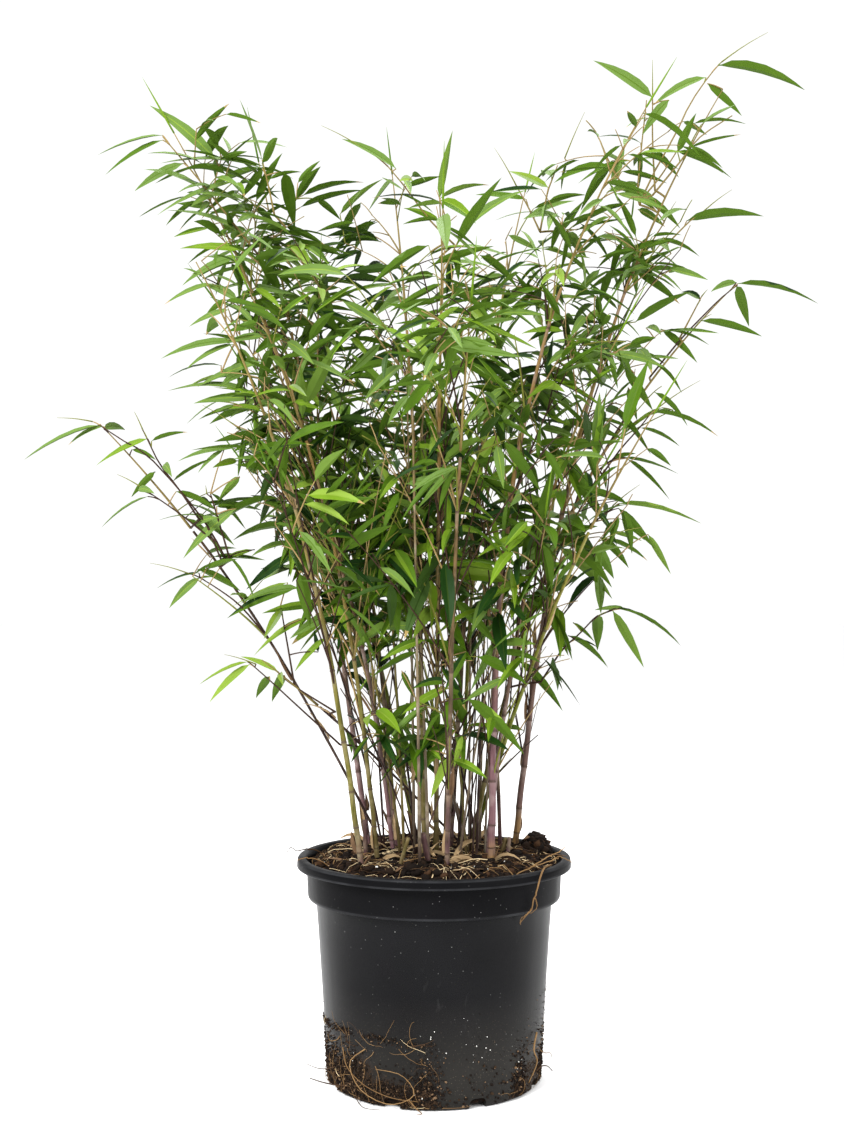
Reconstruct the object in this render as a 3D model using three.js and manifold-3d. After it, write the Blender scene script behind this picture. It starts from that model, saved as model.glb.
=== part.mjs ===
// Potted clump-forming bamboo in a round nursery container, in millimetres, +Z up.
// The origin is the middle of the pot's flat underside, and -Y is the front.
// A clump of slim culms stands in the compost. Each culm ends in a leafy top, and leafy branches
// leave the culms at their upper nodes.
import * as THREE from "three";
import { mergeVertices } from "three/addons/utils/BufferGeometryUtils.js";
import Module from "manifold-3d";

const wasm = await Module();
wasm.setup();

// Pot: a standard five litre container
const POT_HEIGHT = 182;
const RIM_RADIUS = 112.5;
const RIM_INNER_RADIUS = 105.5;
const LIP_DROP = 7.5;
const COLLAR_RADIUS = 105;
const COLLAR_DROP = 33;
const BODY_TOP_RADIUS = 98;
const FOOT_RADIUS = 87.5;
const FOOT_ROUNDING = 3;
const POT_WALL = 2;
const FLOOR = 3;
const LIP_THICKNESS = 1.8;
const LIP_FLARE = 0.4;
const LIP_HOLLOW = 5;
const RIM_ROUNDING = 0.8;
const COLLAR_ROUNDING = 2;
const COLLAR_DRAFT = 1;
const POT_SEGMENTS = 36;
const DRAIN_COUNT = 8;
const DRAIN_WIDTH = 14;
const DRAIN_HEIGHT = 8;
const DRAIN_DEPTH = 9;
const DRAIN_CORNER = 4;
const DRAIN_OVERSHOOT = 2;

// Compost: level where the clump stands, lower at the wall, with one clod raised at the right
const COMPOST_TOP = 184;
const COMPOST_LEVEL_RADIUS = 87;
const COMPOST_WALL_RADIUS = 104;
const COMPOST_RINGS = [99, 93, 87, 78];
const COMPOST_WALL_DROP = 9;
const CLOD_PLACE = [88, 36];
const CLOD_RADIUS = 15;
const CLOD_HEIGHT = 11;
const COMPOST_SEGMENTS = 36;

// Gap that separate pieces keep where they touch
const GAP = 0.3;

// Culms that lead the crown, each as the middle of its foot (x, y), the end of its leader
// (x, y, z), its foot diameter, and how straight it stands: 1 is a straight cane, and a low
// value stands upright first and leans out near its end.
const LEADERS = [
  { foot: [-58, -53], end: [-177, -130, 643], girth: 5.6, straight: 0.5 },
  { foot: [-56, 43], end: [-151, 50, 772], girth: 6.0, straight: 0.85 },
  { foot: [-34, 8], end: [-141, -62, 562], girth: 4.6, straight: 0.4 },
  { foot: [-30, 61], end: [-213, -20, 775], girth: 6.8, straight: 0.58 },
  { foot: [-14, 38], end: [-164, 140, 683], girth: 5.8, straight: 0.68 },
  { foot: [-42, 20], end: [-272, -20, 536], girth: 3.6, straight: 0.77 },
  { foot: [8, 61], end: [-171, 120, 515], girth: 4.0, straight: 0.8 },
  { foot: [34, 51], end: [161, -140, 531], girth: 5.4, straight: 0.75 },
  { foot: [46, -31], end: [174, -20, 796], girth: 7.4, straight: 0.05 },
  { foot: [70, 42], end: [243, 20, 822], girth: 6.6, straight: 0.4 },
  { foot: [30, 8], end: [262, 60, 666], girth: 5.2, straight: 0.45 },
  { foot: [14, 24], end: [87, 160, 776], girth: 5.6, straight: 0.5 },
  { foot: [2, -4], end: [5, -170, 674], girth: 5.0, straight: 0.4 },
  { foot: [-8, -22], end: [-36, 60, 764], girth: 5.2, straight: 0.3 },
  { foot: [24, 38], end: [-140, -20, 344], girth: 3.2, straight: 0.9 },
];

// Culms that fill the clump all round, spread evenly by angle
const FILLER_COUNT = 5;
const FILLER_FIRST_ANGLE = 64;
const FILLER_FOOT_RADIUS = 48;
const FILLER_REACH = [150, 195];
const FILLER_HEIGHT = 690;
const FILLER_FOOT_SPREAD = [0.8, 1.2];
const FILLER_REACH_SPREAD = [0.9, 1.1];
const FILLER_HEIGHT_SPREAD = [0.85, 1];
const FILLER_STRAIGHT = 0.45;
const FILLER_GIRTH = 4.8;
const FILLER_SEED = 20;

const CULM_SIDES = 6;
const CULM_SECTIONS = 7;
const CULM_TIP_DIAMETER = 3.2;
const CULM_SHARE = 0.76;
const CULM_STRANDS = 12;

// Foliage: leaves stand for the finer sprays of the living plant and are a little larger than life
const STEM_SIDES = 3;
const STEM_SECTIONS = 3;
const STEM_TIP_DIAMETER = 2.8;
const BRANCH_DIAMETER = 3.8;
const TWIG_DIAMETER = 1.7;
const TWIG_ROOT_DIAMETER = 1.3;
const TWIG_ANGLE = 44;
const TWIG_TURN = 137.5;
const TWIG_SAG = 0.1;
const LEAF_LENGTH = [70, 94];
const LEAF_WIDTH_SHARE = 0.155;
const LEAF_THICKNESS_SHARE = 0.018;
const LEAF_WIDEST = 0.38;
const LEAF_ROOT_DIAMETER = 0.7;
const LEAF_SPREAD = 36;
const LEAF_DROOP = [0.225, 0.675];
const LEAF_ROLL = 140;
const LEAF_TURN_SPREAD = 30;
const TWIG_ANGLE_SPREAD = 16;
const TWIG_TURN_SPREAD = 180;
const TWIG_OUTLINE_RADIUS = 1;
const TWIG_LENGTH_AT_FOOT = 1.15;
const TWIG_LENGTH_LOSS = 0.5;
const TWIG_LENGTH_SPREAD = [0.85, 1.15];
const LEAF_ROOT_OUTLINE = 0.6;
const LEAF_TIP_OUTLINE = 0.2;
const SIDE_LEAF_PLACE = 0.72;
const FLAG_LEAF_LENGTH = [72, 78];
const FLAG_PLACE = 0.95;
const FLAG_RISE = 0.3;
const SPEAR_PLACE = 0.985;
const LAST_TWIG = 0.96;
const SPEAR_LENGTH = 50;
const SPEAR_DIAMETER = 2;
const LOWEST_LEAF = 270;
const HIGHEST_LEAF = 864;
const CROWN_RADIUS = 170;
const CROWN_FLARE = 0.2;
const TRIES = 24;
const STOPS = 12;

// Tops grow on from the culms
const TOP_STRANDS = 4;
const TOP = { twigs: 6, firstTwig: 0.1, twigLength: 46, space: 92, insideCrown: false };

// Branches leave the culms at a node, a share of the culm's height. They open away from it by an
// angle, towards the culm's own lean turned by another.
const BRANCH = { firstTwig: 0.2, twigLength: 56, space: 108 };
const BRANCH_STRANDS = 5;
const BRANCH_CLEAR_FROM = 0.1;
const LONG_TWIGS = 8;
const BRANCH_BOW = 0.18;
const LONG = 172;
const SHORT = 72;
const STEEP = 24;
const WIDE = 56;
const SHORT_TWIGS = 5;
const BRANCHES = [
  { culm: 1, node: 0.3, turn: 30, length: LONG, open: STEEP },
  { culm: 2, node: 0.26, turn: -50, length: LONG, open: STEEP },
  { culm: 2, node: 0.5, turn: 110, length: LONG, open: STEEP },
  { culm: 3, node: 0.36, turn: -40, length: LONG, open: STEEP },
  { culm: 4, node: 0.28, turn: 40, length: LONG, open: STEEP },
  { culm: 4, node: 0.5, turn: -30, length: LONG, open: STEEP },
  { culm: 5, node: 0.4, turn: -100, length: LONG, open: STEEP },
  { culm: 6, node: 0.5, turn: 10, length: SHORT, open: WIDE },
  { culm: 8, node: 0.34, turn: -40, length: LONG, open: STEEP },
  { culm: 9, node: 0.25, turn: 120, length: LONG, open: STEEP },
  { culm: 9, node: 0.45, turn: 10, length: LONG, open: STEEP },
  { culm: 10, node: 0.26, turn: -20, length: SHORT, open: WIDE },
  { culm: 10, node: 0.46, turn: 60, length: LONG, open: STEEP },
  { culm: 11, node: 0.32, turn: -60, length: LONG, open: STEEP },
  { culm: 12, node: 0.3, turn: 60, length: LONG, open: STEEP },
  { culm: 13, node: 0.28, turn: -120, length: LONG, open: STEEP },
  { culm: 14, node: 0.32, turn: 150, length: LONG, open: STEEP },
  { culm: 17, node: 0.34, turn: 30, length: LONG, open: STEEP },
];

const FIRST_TOP_SEED = 100;
const FIRST_BRANCH_SEED = 300;

const UP = new THREE.Vector3(0, 0, 1);

const radians = (degrees) => (degrees * Math.PI) / 180;

const between = ([low, high], share) => low + (high - low) * share;

// A repeatable run of numbers from 0 to 1, the same for the same seed.
function seeded(seed) {
  let state = seed >>> 0;
  return () => {
    state = (state + 0x6d2b79f5) >>> 0;
    let mixed = Math.imul(state ^ (state >>> 15), state | 1);
    mixed ^= mixed + Math.imul(mixed ^ (mixed >>> 7), mixed | 61);
    return ((mixed ^ (mixed >>> 14)) >>> 0) / 4294967296;
  };
}

// A closed three.js geometry as a solid.
function solidOf(geometry) {
  const bare = new THREE.BufferGeometry();
  bare.setAttribute("position", geometry.getAttribute("position"));
  if (geometry.index) {
    bare.setIndex(geometry.index);
  }
  const merged = mergeVertices(bare, 1e-4);
  const corners = merged.index.array;
  const faces = [];
  for (let i = 0; i < corners.length; i += 3) {
    const [a, b, c] = corners.slice(i, i + 3);
    if (a !== b && b !== c && c !== a) {
      faces.push(a, b, c);
    }
  }
  const mesh = new wasm.Mesh({
    numProp: 3,
    vertProperties: new Float32Array(merged.attributes.position.array),
    triVerts: new Uint32Array(faces),
  });
  return new wasm.Manifold(mesh);
}

// A solid as a three.js geometry.
function geometryOf(solid) {
  const mesh = solid.getMesh();
  const geometry = new THREE.BufferGeometry();
  geometry.setAttribute("position", new THREE.BufferAttribute(mesh.vertProperties, mesh.numProp));
  geometry.setIndex(new THREE.BufferAttribute(mesh.triVerts, 1));
  geometry.computeVertexNormals();
  return geometry;
}

// The largest closed body of a solid: loose scraps and sealed hollows are left out.
function mainBody(solid) {
  const bodies = solid.decompose();
  return bodies.reduce((best, body) => (body.volume() > best.volume() ? body : best));
}

// A profile of radius and height turned about the upright axis.
function turned(profile, segments) {
  const points = profile.map(([radius, height]) => new THREE.Vector2(radius, height));
  return new THREE.LatheGeometry(points, segments).rotateX(Math.PI / 2);
}

// A closed body through stations. Each is a place, the directions of its side and face, and its
// half width and half depth along them. A station with no width closes the body to a point. A
// three-sided body is one and a half times its half depth thick.
function loft(stations, sides) {
  const last = stations.length - 1;
  const body = new THREE.CylinderGeometry(1, 1, 1, sides, last);
  const places = body.getAttribute("position");
  for (let i = 0; i < places.count; i += 1) {
    const station = stations[Math.round((places.getY(i) + 0.5) * last)];
    const place = station.at.clone();
    place.addScaledVector(station.side, places.getX(i) * station.width);
    place.addScaledVector(station.face, places.getZ(i) * station.depth);
    places.setXYZ(i, place.x, place.y, place.z);
  }
  return solidOf(body);
}

// The directions across a heading: one near level, and the other square to both.
function across(heading, roll) {
  const side = new THREE.Vector3().crossVectors(heading, UP);
  if (side.lengthSq() < 1e-6) {
    side.set(1, 0, 0);
  }
  side.normalize().applyAxisAngle(heading, roll);
  const face = new THREE.Vector3().crossVectors(side, heading);
  return { side, face };
}

// A tapering limb along a curve. Its foot is cut level where levelFoot is true.
function limb(curve, from, to, radiusAt, sides, sections, levelFoot) {
  const stations = [];
  for (let i = 0; i <= sections; i += 1) {
    const t = from + ((to - from) * i) / sections;
    const along = levelFoot && i === 0 ? UP : curve.getTangent(t);
    const side = new THREE.Vector3(1, 0, 0);
    side.addScaledVector(along, -side.dot(along)).normalize();
    const face = new THREE.Vector3().crossVectors(side, along);
    const radius = radiusAt(t);
    stations.push({ at: curve.getPoint(t), side, face, width: radius, depth: radius });
  }
  return loft(stations, sides);
}

// The line of a culm: it climbs evenly and leans out more towards its end.
class CulmLine extends THREE.Curve {
  constructor(foot, end, straight) {
    super();
    this.foot = foot;
    this.end = end;
    this.straight = straight;
  }

  getPoint(t, target = new THREE.Vector3()) {
    const lean = this.straight * t + (1 - this.straight) * t ** 3;
    target.lerpVectors(this.foot, this.end, lean);
    target.z = this.foot.z + (this.end.z - this.foot.z) * t;
    return target;
  }
}

// The line of a branch: it leaves its culm steeply and bows outwards.
class BranchLine extends THREE.Curve {
  constructor(start, heading, length, outward) {
    super();
    this.start = start;
    this.heading = heading;
    this.length = length;
    this.outward = outward;
  }

  getPoint(t, target = new THREE.Vector3()) {
    target.copy(this.start);
    target.addScaledVector(this.heading, this.length * t);
    target.addScaledVector(this.outward, this.length * BRANCH_BOW * t * t);
    return target;
  }
}

// Limbs, twigs and leaves already placed, each as a line with a radius at both ends and in the
// middle. Nothing of one mass comes nearer than the gap to anything of another.
const placed = [];

function strand(owner, from, to, radii) {
  return { owner, from: from.clone(), to: to.clone(), radii };
}

// Radius of a strand at a share of its length: start, widest place, end.
function radiusOf(item, share) {
  const [start, widest, end] = item.radii;
  if (share < LEAF_WIDEST) {
    return start + ((widest - start) * share) / LEAF_WIDEST;
  }
  return widest + ((end - widest) * (share - LEAF_WIDEST)) / (1 - LEAF_WIDEST);
}

// Room between two strands at their nearest places, less their radii.
function room(a, b) {
  const alongA = new THREE.Vector3().subVectors(a.to, a.from);
  const alongB = new THREE.Vector3().subVectors(b.to, b.from);
  const apart = new THREE.Vector3().subVectors(a.from, b.from);
  const aa = alongA.dot(alongA);
  const bb = alongB.dot(alongB);
  const ab = alongA.dot(alongB);
  const ad = alongA.dot(apart);
  const bd = alongB.dot(apart);
  const spread = aa * bb - ab * ab;
  let s = spread > 1e-9 ? THREE.MathUtils.clamp((ab * bd - ad * bb) / spread, 0, 1) : 0;
  const t = THREE.MathUtils.clamp((ab * s + bd) / bb, 0, 1);
  s = THREE.MathUtils.clamp((ab * t - ad) / aa, 0, 1);
  apart.addScaledVector(alongA, s).addScaledVector(alongB, -t);
  return apart.length() - radiusOf(a, s) - radiusOf(b, t);
}

// A strand may be placed where it keeps its gap to every other owner's strands.
function isFree(item) {
  return placed.every((other) => other.owner === item.owner || room(item, other) > GAP * 2);
}

function placeCurve(owner, curve, from, to, radiusAt, steps) {
  for (let i = 0; i < steps; i += 1) {
    const a = from + ((to - from) * i) / steps;
    const b = from + ((to - from) * (i + 1)) / steps;
    const thick = Math.max(radiusAt(a), radiusAt(b));
    placed.push(strand(owner, curve.getPoint(a), curve.getPoint(b), [thick, thick, thick]));
  }
}

// The stations of a leaf's widest place and its tip.
function bladeStations(root, heading, length, roll) {
  const { side, face } = across(heading, roll);
  const widest = root.clone().addScaledVector(heading, length * LEAF_WIDEST);
  const tip = root.clone().addScaledVector(heading, length);
  const width = (length * LEAF_WIDTH_SHARE) / 2;
  const depth = (length * LEAF_THICKNESS_SHARE) / 1.5;
  return [
    { at: widest, side, face, width, depth },
    { at: tip, side, face, width: 0, depth: 0 },
  ];
}

function ringStation(at, heading, roll, radius) {
  const { side, face } = across(heading, roll);
  return { at, side, face, width: radius, depth: radius };
}

// A mass keeps within its own distance of its stem, and above the bare foot of the clump.
function isInside(mass, place) {
  if (place.z < LOWEST_LEAF || place.z > HIGHEST_LEAF) {
    return false;
  }
  const edge = CROWN_RADIUS + CROWN_FLARE * (place.z - LOWEST_LEAF);
  if (mass.insideCrown && Math.hypot(place.x, place.y) > edge) {
    return false;
  }
  return mass.line.stops.some((stop) => stop.distanceTo(place) < mass.space);
}

// A heading for a leaf near a twig's end: turned aside, hanging a little, and never quite alike.
function leafHeading(twigHeading, turn, random) {
  const heading = twigHeading.clone();
  heading.applyAxisAngle(UP, radians(turn + (random() - 0.5) * LEAF_TURN_SPREAD));
  heading.z -= between(LEAF_DROOP, random());
  return heading.normalize();
}

function bladeOutline(mass, root, heading, length) {
  const tip = root.clone().addScaledVector(heading, length);
  return strand(mass.name, root, tip, [
    LEAF_ROOT_OUTLINE,
    (length * LEAF_WIDTH_SHARE) / 2,
    LEAF_TIP_OUTLINE,
  ]);
}

// Grows one leaf out of a twig or stem if there is room for it.
function growLeaf(mass, root, twigHeading, turn, lengths, random) {
  for (let attempt = 0; attempt < TRIES; attempt += 1) {
    const length = between(lengths, random());
    const heading = leafHeading(twigHeading, turn, random);
    const roll = radians((random() - 0.5) * LEAF_ROLL);
    const outline = bladeOutline(mass, root, heading, length);
    if (isInside(mass, outline.to) && isFree(outline)) {
      placed.push(outline);
      const foot = ringStation(root, heading, roll, LEAF_ROOT_DIAMETER / 2);
      mass.solids.push(loft([foot, ...bladeStations(root, heading, length, roll)], STEM_SIDES));
      return;
    }
  }
}

// Grows one twig from the stem if there is room for it. It ends in a leaf, with another beside it.
function growTwig(mass, share, turn, length, random) {
  const from = mass.line.getPoint(share);
  const along = mass.line.getTangent(share);
  const { side } = across(along, 0);
  for (let attempt = 0; attempt < TRIES; attempt += 1) {
    const around = radians(turn + (attempt === 0 ? 0 : (random() - 0.5) * TWIG_TURN_SPREAD));
    const lean = side.clone().applyAxisAngle(along, around);
    const opening = radians(TWIG_ANGLE + (random() - 0.5) * TWIG_ANGLE_SPREAD);
    const heading = along.clone().multiplyScalar(Math.cos(opening));
    heading.addScaledVector(lean, Math.sin(opening));
    heading.z -= TWIG_SAG;
    heading.normalize();
    const to = from.clone().addScaledVector(heading, length);
    const leafLength = between(LEAF_LENGTH, random());
    const bladeHeading = leafHeading(heading, 0, random);
    const roll = radians((random() - 0.5) * LEAF_ROLL);
    const twig = strand(mass.name, from, to, [1, 1, 1].map((one) => one * TWIG_OUTLINE_RADIUS));
    const blade = bladeOutline(mass, to, bladeHeading, leafLength);
    if (isInside(mass, blade.to) && isFree(twig) && isFree(blade)) {
      placed.push(twig, blade);
      const stations = [
        ringStation(from, heading, roll, TWIG_ROOT_DIAMETER / 2),
        ringStation(to, heading, roll, TWIG_DIAMETER / 2),
        ...bladeStations(to, bladeHeading, leafLength, roll),
      ];
      mass.solids.push(loft(stations, STEM_SIDES));
      const root = from.clone().lerp(to, SIDE_LEAF_PLACE);
      const aside = random() < 0.5 ? LEAF_SPREAD : -LEAF_SPREAD;
      growLeaf(mass, root, heading, aside, LEAF_LENGTH, random);
      return;
    }
  }
}

// The end of a stem: a rolled leaf that goes on from it, and a flag leaf that hangs outwards.
function growEnd(mass, random) {
  const foot = mass.line.getPoint(SPEAR_PLACE);
  const heading = mass.line.getTangent(1);
  const point = foot.clone().addScaledVector(heading, SPEAR_LENGTH);
  const radius = SPEAR_DIAMETER / 2;
  const spear = strand(mass.name, foot, point, [radius, radius, 0]);
  if (isFree(spear)) {
    placed.push(spear);
    const stations = [ringStation(foot, heading, 0, radius), ringStation(point, heading, 0, 0)];
    mass.solids.push(loft(stations, STEM_SIDES));
  }
  const level = new THREE.Vector3(heading.x, heading.y, 0).normalize();
  level.addScaledVector(heading, FLAG_RISE).normalize();
  growLeaf(mass, mass.line.getPoint(FLAG_PLACE), level, 0, FLAG_LEAF_LENGTH, random);
}

// One mass of foliage: a stem with twigs at even steps, each turned on from the last.
function growMass(mass) {
  const random = seeded(mass.seed);
  const firstTurn = random() * 360;
  for (let i = 0; i < mass.twigs; i += 1) {
    const share = mass.firstTwig + ((LAST_TWIG - mass.firstTwig) * i) / Math.max(1, mass.twigs - 1);
    const taper = TWIG_LENGTH_AT_FOOT - TWIG_LENGTH_LOSS * share;
    const length = mass.twigLength * taper * between(TWIG_LENGTH_SPREAD, random());
    growTwig(mass, share, firstTurn + i * TWIG_TURN, length, random);
  }
  growEnd(mass, random);
  const whole = mass.solids.reduce((sum, solid) => sum.add(solid));
  return mainBody(mass.trim ? whole.subtract(mass.trim) : whole);
}

// Height of the compost at a place.
function compostHeight(x, y) {
  const radius = Math.hypot(x, y);
  const slope = COMPOST_WALL_RADIUS - COMPOST_LEVEL_RADIUS;
  const fall = THREE.MathUtils.clamp((radius - COMPOST_LEVEL_RADIUS) / slope, 0, 1);
  const fromClod = Math.hypot(x - CLOD_PLACE[0], y - CLOD_PLACE[1]) / CLOD_RADIUS;
  const clod = fromClod < 1 ? CLOD_HEIGHT * (1 - fromClod ** 2) ** 2 : 0;
  return COMPOST_TOP - COMPOST_WALL_DROP * fall + clod;
}

function makePot() {
  const lipBottom = POT_HEIGHT - LIP_DROP;
  const collarBottom = POT_HEIGHT - COLLAR_DROP;
  const collarFoot = COLLAR_RADIUS - COLLAR_DRAFT;
  const profile = [
    [0, 0],
    [FOOT_RADIUS - FOOT_ROUNDING, 0],
    [FOOT_RADIUS - FOOT_ROUNDING * 0.2, FOOT_ROUNDING * 0.4],
    [FOOT_RADIUS, FOOT_ROUNDING],
    [BODY_TOP_RADIUS, collarBottom - COLLAR_ROUNDING / 2],
    [collarFoot - COLLAR_ROUNDING, collarBottom],
    [collarFoot, collarBottom + COLLAR_ROUNDING],
    [COLLAR_RADIUS, lipBottom],
    [COLLAR_RADIUS + COLLAR_DRAFT, lipBottom + LIP_HOLLOW],
    [RIM_RADIUS - LIP_THICKNESS, lipBottom + LIP_HOLLOW],
    [RIM_RADIUS + LIP_FLARE - LIP_THICKNESS, lipBottom],
    [RIM_RADIUS + LIP_FLARE, lipBottom],
    [RIM_RADIUS, POT_HEIGHT - RIM_ROUNDING],
    [RIM_RADIUS - RIM_ROUNDING, POT_HEIGHT],
    [RIM_INNER_RADIUS, POT_HEIGHT],
    [COLLAR_RADIUS - POT_WALL, lipBottom],
    [collarFoot - POT_WALL, collarBottom + FLOOR],
    [BODY_TOP_RADIUS - POT_WALL, collarBottom],
    [FOOT_RADIUS - POT_WALL, FLOOR],
    [0, FLOOR],
  ];
  let pot = solidOf(turned(profile, POT_SEGMENTS));
  const side = DRAIN_WIDTH / 2;
  const spring = DRAIN_HEIGHT - DRAIN_CORNER;
  const arch = new THREE.Shape();
  arch.moveTo(-side, -1);
  arch.lineTo(side, -1);
  arch.lineTo(side, spring);
  arch.quadraticCurveTo(side, DRAIN_HEIGHT, side - DRAIN_CORNER, DRAIN_HEIGHT);
  arch.lineTo(DRAIN_CORNER - side, DRAIN_HEIGHT);
  arch.quadraticCurveTo(-side, DRAIN_HEIGHT, -side, spring);
  arch.closePath();
  for (let i = 0; i < DRAIN_COUNT; i += 1) {
    const drain = new THREE.ExtrudeGeometry(arch, {
      depth: DRAIN_DEPTH,
      bevelEnabled: false,
      curveSegments: 2,
    });
    drain.rotateX(Math.PI / 2);
    drain.translate(0, DRAIN_DEPTH - FOOT_RADIUS - DRAIN_OVERSHOOT, 0);
    drain.rotateZ(((i + 0.5) * 2 * Math.PI) / DRAIN_COUNT);
    pot = pot.subtract(solidOf(drain));
  }
  return pot;
}

function makeCompost() {
  const floor = FLOOR + GAP;
  const collarBottom = POT_HEIGHT - COLLAR_DROP;
  const collarFoot = COLLAR_RADIUS - COLLAR_DRAFT;
  const wall = POT_WALL + 2 * GAP;
  const profile = [
    [0, floor],
    [FOOT_RADIUS - wall, floor],
    [BODY_TOP_RADIUS - wall, collarBottom],
    [collarFoot - wall, collarBottom + FLOOR + 2 * GAP],
    [COLLAR_RADIUS - wall - GAP, COMPOST_TOP - COMPOST_WALL_DROP],
    ...COMPOST_RINGS.map((radius) => [radius, COMPOST_TOP]),
    [0, COMPOST_TOP],
  ];
  const compost = turned(profile, COMPOST_SEGMENTS);
  const places = compost.getAttribute("position");
  for (let i = 0; i < places.count; i += 1) {
    if (places.getZ(i) > COMPOST_TOP - COMPOST_WALL_DROP - GAP) {
      places.setZ(i, compostHeight(places.getX(i), places.getY(i)));
    }
  }
  return solidOf(compost);
}

// Every culm of the clump: the leaders first, then the fillers.
function culmRows() {
  const random = seeded(FILLER_SEED);
  const rows = LEADERS.map((row) => ({ ...row }));
  for (let i = 0; i < FILLER_COUNT; i += 1) {
    const angle = radians(FILLER_FIRST_ANGLE + (i * 360) / FILLER_COUNT);
    const footRadius = FILLER_FOOT_RADIUS * between(FILLER_FOOT_SPREAD, random());
    const reach = between(FILLER_REACH_SPREAD, random());
    const rise = FILLER_HEIGHT * between(FILLER_HEIGHT_SPREAD, random());
    rows.push({
      foot: [Math.cos(angle) * footRadius, Math.sin(angle) * footRadius],
      end: [
        Math.cos(angle) * FILLER_REACH[0] * reach,
        Math.sin(angle) * FILLER_REACH[1] * reach,
        rise,
      ],
      girth: FILLER_GIRTH,
      straight: FILLER_STRAIGHT,
    });
  }
  return rows;
}

const finish = {
  pot: new THREE.MeshStandardMaterial({ color: 0x232426, roughness: 0.45, metalness: 0 }),
  compost: new THREE.MeshStandardMaterial({ color: 0x2e2018, roughness: 0.95, metalness: 0 }),
  culm: new THREE.MeshStandardMaterial({ color: 0x7d7a52, roughness: 0.55, metalness: 0 }),
  leaf: new THREE.MeshStandardMaterial({ color: 0x3f8a2a, roughness: 0.5, metalness: 0 }),
};

const plant = new THREE.Group();

function addPart(name, solid, material) {
  const mesh = new THREE.Mesh(geometryOf(solid), material.clone());
  mesh.name = name;
  plant.add(mesh);
}

const number = (i) => String(i + 1).padStart(2, "0");

addPart("pot", makePot(), finish.pot);
addPart("compost", makeCompost(), finish.compost);

const culms = culmRows().map((row, i) => {
  const foot = new THREE.Vector3(row.foot[0], row.foot[1], COMPOST_TOP + GAP);
  const end = new THREE.Vector3(...row.end);
  const line = new CulmLine(foot, end, row.straight);
  const girths = [row.girth, CULM_TIP_DIAMETER];
  const radiusAt = (t) => between(girths, Math.min(t / CULM_SHARE, 1)) / 2;
  return { name: "culm_" + number(i), line, radiusAt };
});

for (const culm of culms) {
  const cane = limb(culm.line, 0, CULM_SHARE, culm.radiusAt, CULM_SIDES, CULM_SECTIONS, true);
  addPart(culm.name, cane, finish.culm);
  placeCurve(culm.name, culm.line, 0, CULM_SHARE, culm.radiusAt, CULM_STRANDS);
}

// Even stops along a line, for telling how far a leaf is from its stem.
const stopsOf = (curve, from, to) =>
  Array.from({ length: STOPS + 1 }, (_, i) => curve.getPoint(between([from, to], i / STOPS)));

// The top of a culm grows on along the culm's own line.
const masses = culms.map((culm, i) => {
  const from = CULM_SHARE + GAP / culm.line.getLength();
  const radiusAt = (t) => {
    const share = (t - CULM_SHARE) / (1 - CULM_SHARE);
    return between([CULM_TIP_DIAMETER, STEM_TIP_DIAMETER], share) / 2;
  };
  const line = {
    getPoint: (t) => culm.line.getPoint(from + (1 - from) * t),
    getTangent: (t) => culm.line.getTangent(from + (1 - from) * t),
    stops: stopsOf(culm.line, from, 1),
  };
  const name = "top_" + number(i);
  placeCurve(name, culm.line, from, 1, radiusAt, TOP_STRANDS);
  const stem = limb(culm.line, from, 1, radiusAt, STEM_SIDES, STEM_SECTIONS, false);
  return { ...TOP, name, line, solids: [stem], seed: FIRST_TOP_SEED + i, trim: null };
});

// A branch leaves its culm at a node, and its foot is cut clear of the culm.
BRANCHES.forEach((row, i) => {
  const culm = culms[row.culm - 1];
  const along = culm.line.getTangent(row.node);
  const lean = new THREE.Vector3(along.x, along.y, 0).normalize();
  lean.applyAxisAngle(UP, radians(row.turn));
  const opened = UP.clone().multiplyScalar(Math.cos(radians(row.open)));
  opened.addScaledVector(lean, Math.sin(radians(row.open)));
  const heading = opened.add(along).normalize();
  const line = new BranchLine(culm.line.getPoint(row.node), heading, row.length, lean);
  line.stops = stopsOf(line, 0, 1);
  const radiusAt = (t) => between([BRANCH_DIAMETER, STEM_TIP_DIAMETER], t) / 2;
  const name = "branch_" + number(i);
  placeCurve(name, line, BRANCH_CLEAR_FROM, 1, radiusAt, BRANCH_STRANDS);
  const stem = limb(line, 0, 1, radiusAt, STEM_SIDES, STEM_SECTIONS, false);
  const cleared = (t) => culm.radiusAt(t) + GAP;
  const trim = limb(culm.line, 0, CULM_SHARE, cleared, CULM_SIDES, CULM_SECTIONS, true);
  const insideCrown = row.length === LONG;
  const twigs = insideCrown ? LONG_TWIGS : SHORT_TWIGS;
  const seed = FIRST_BRANCH_SEED + i;
  masses.push({ ...BRANCH, insideCrown, twigs, name, line, solids: [stem], seed, trim });
});

for (const mass of masses) {
  addPart(mass.name, growMass(mass), finish.leaf);
}

export default plant;
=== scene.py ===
import math

import bmesh
import bpy
import numpy as np
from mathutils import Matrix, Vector, noise


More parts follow.
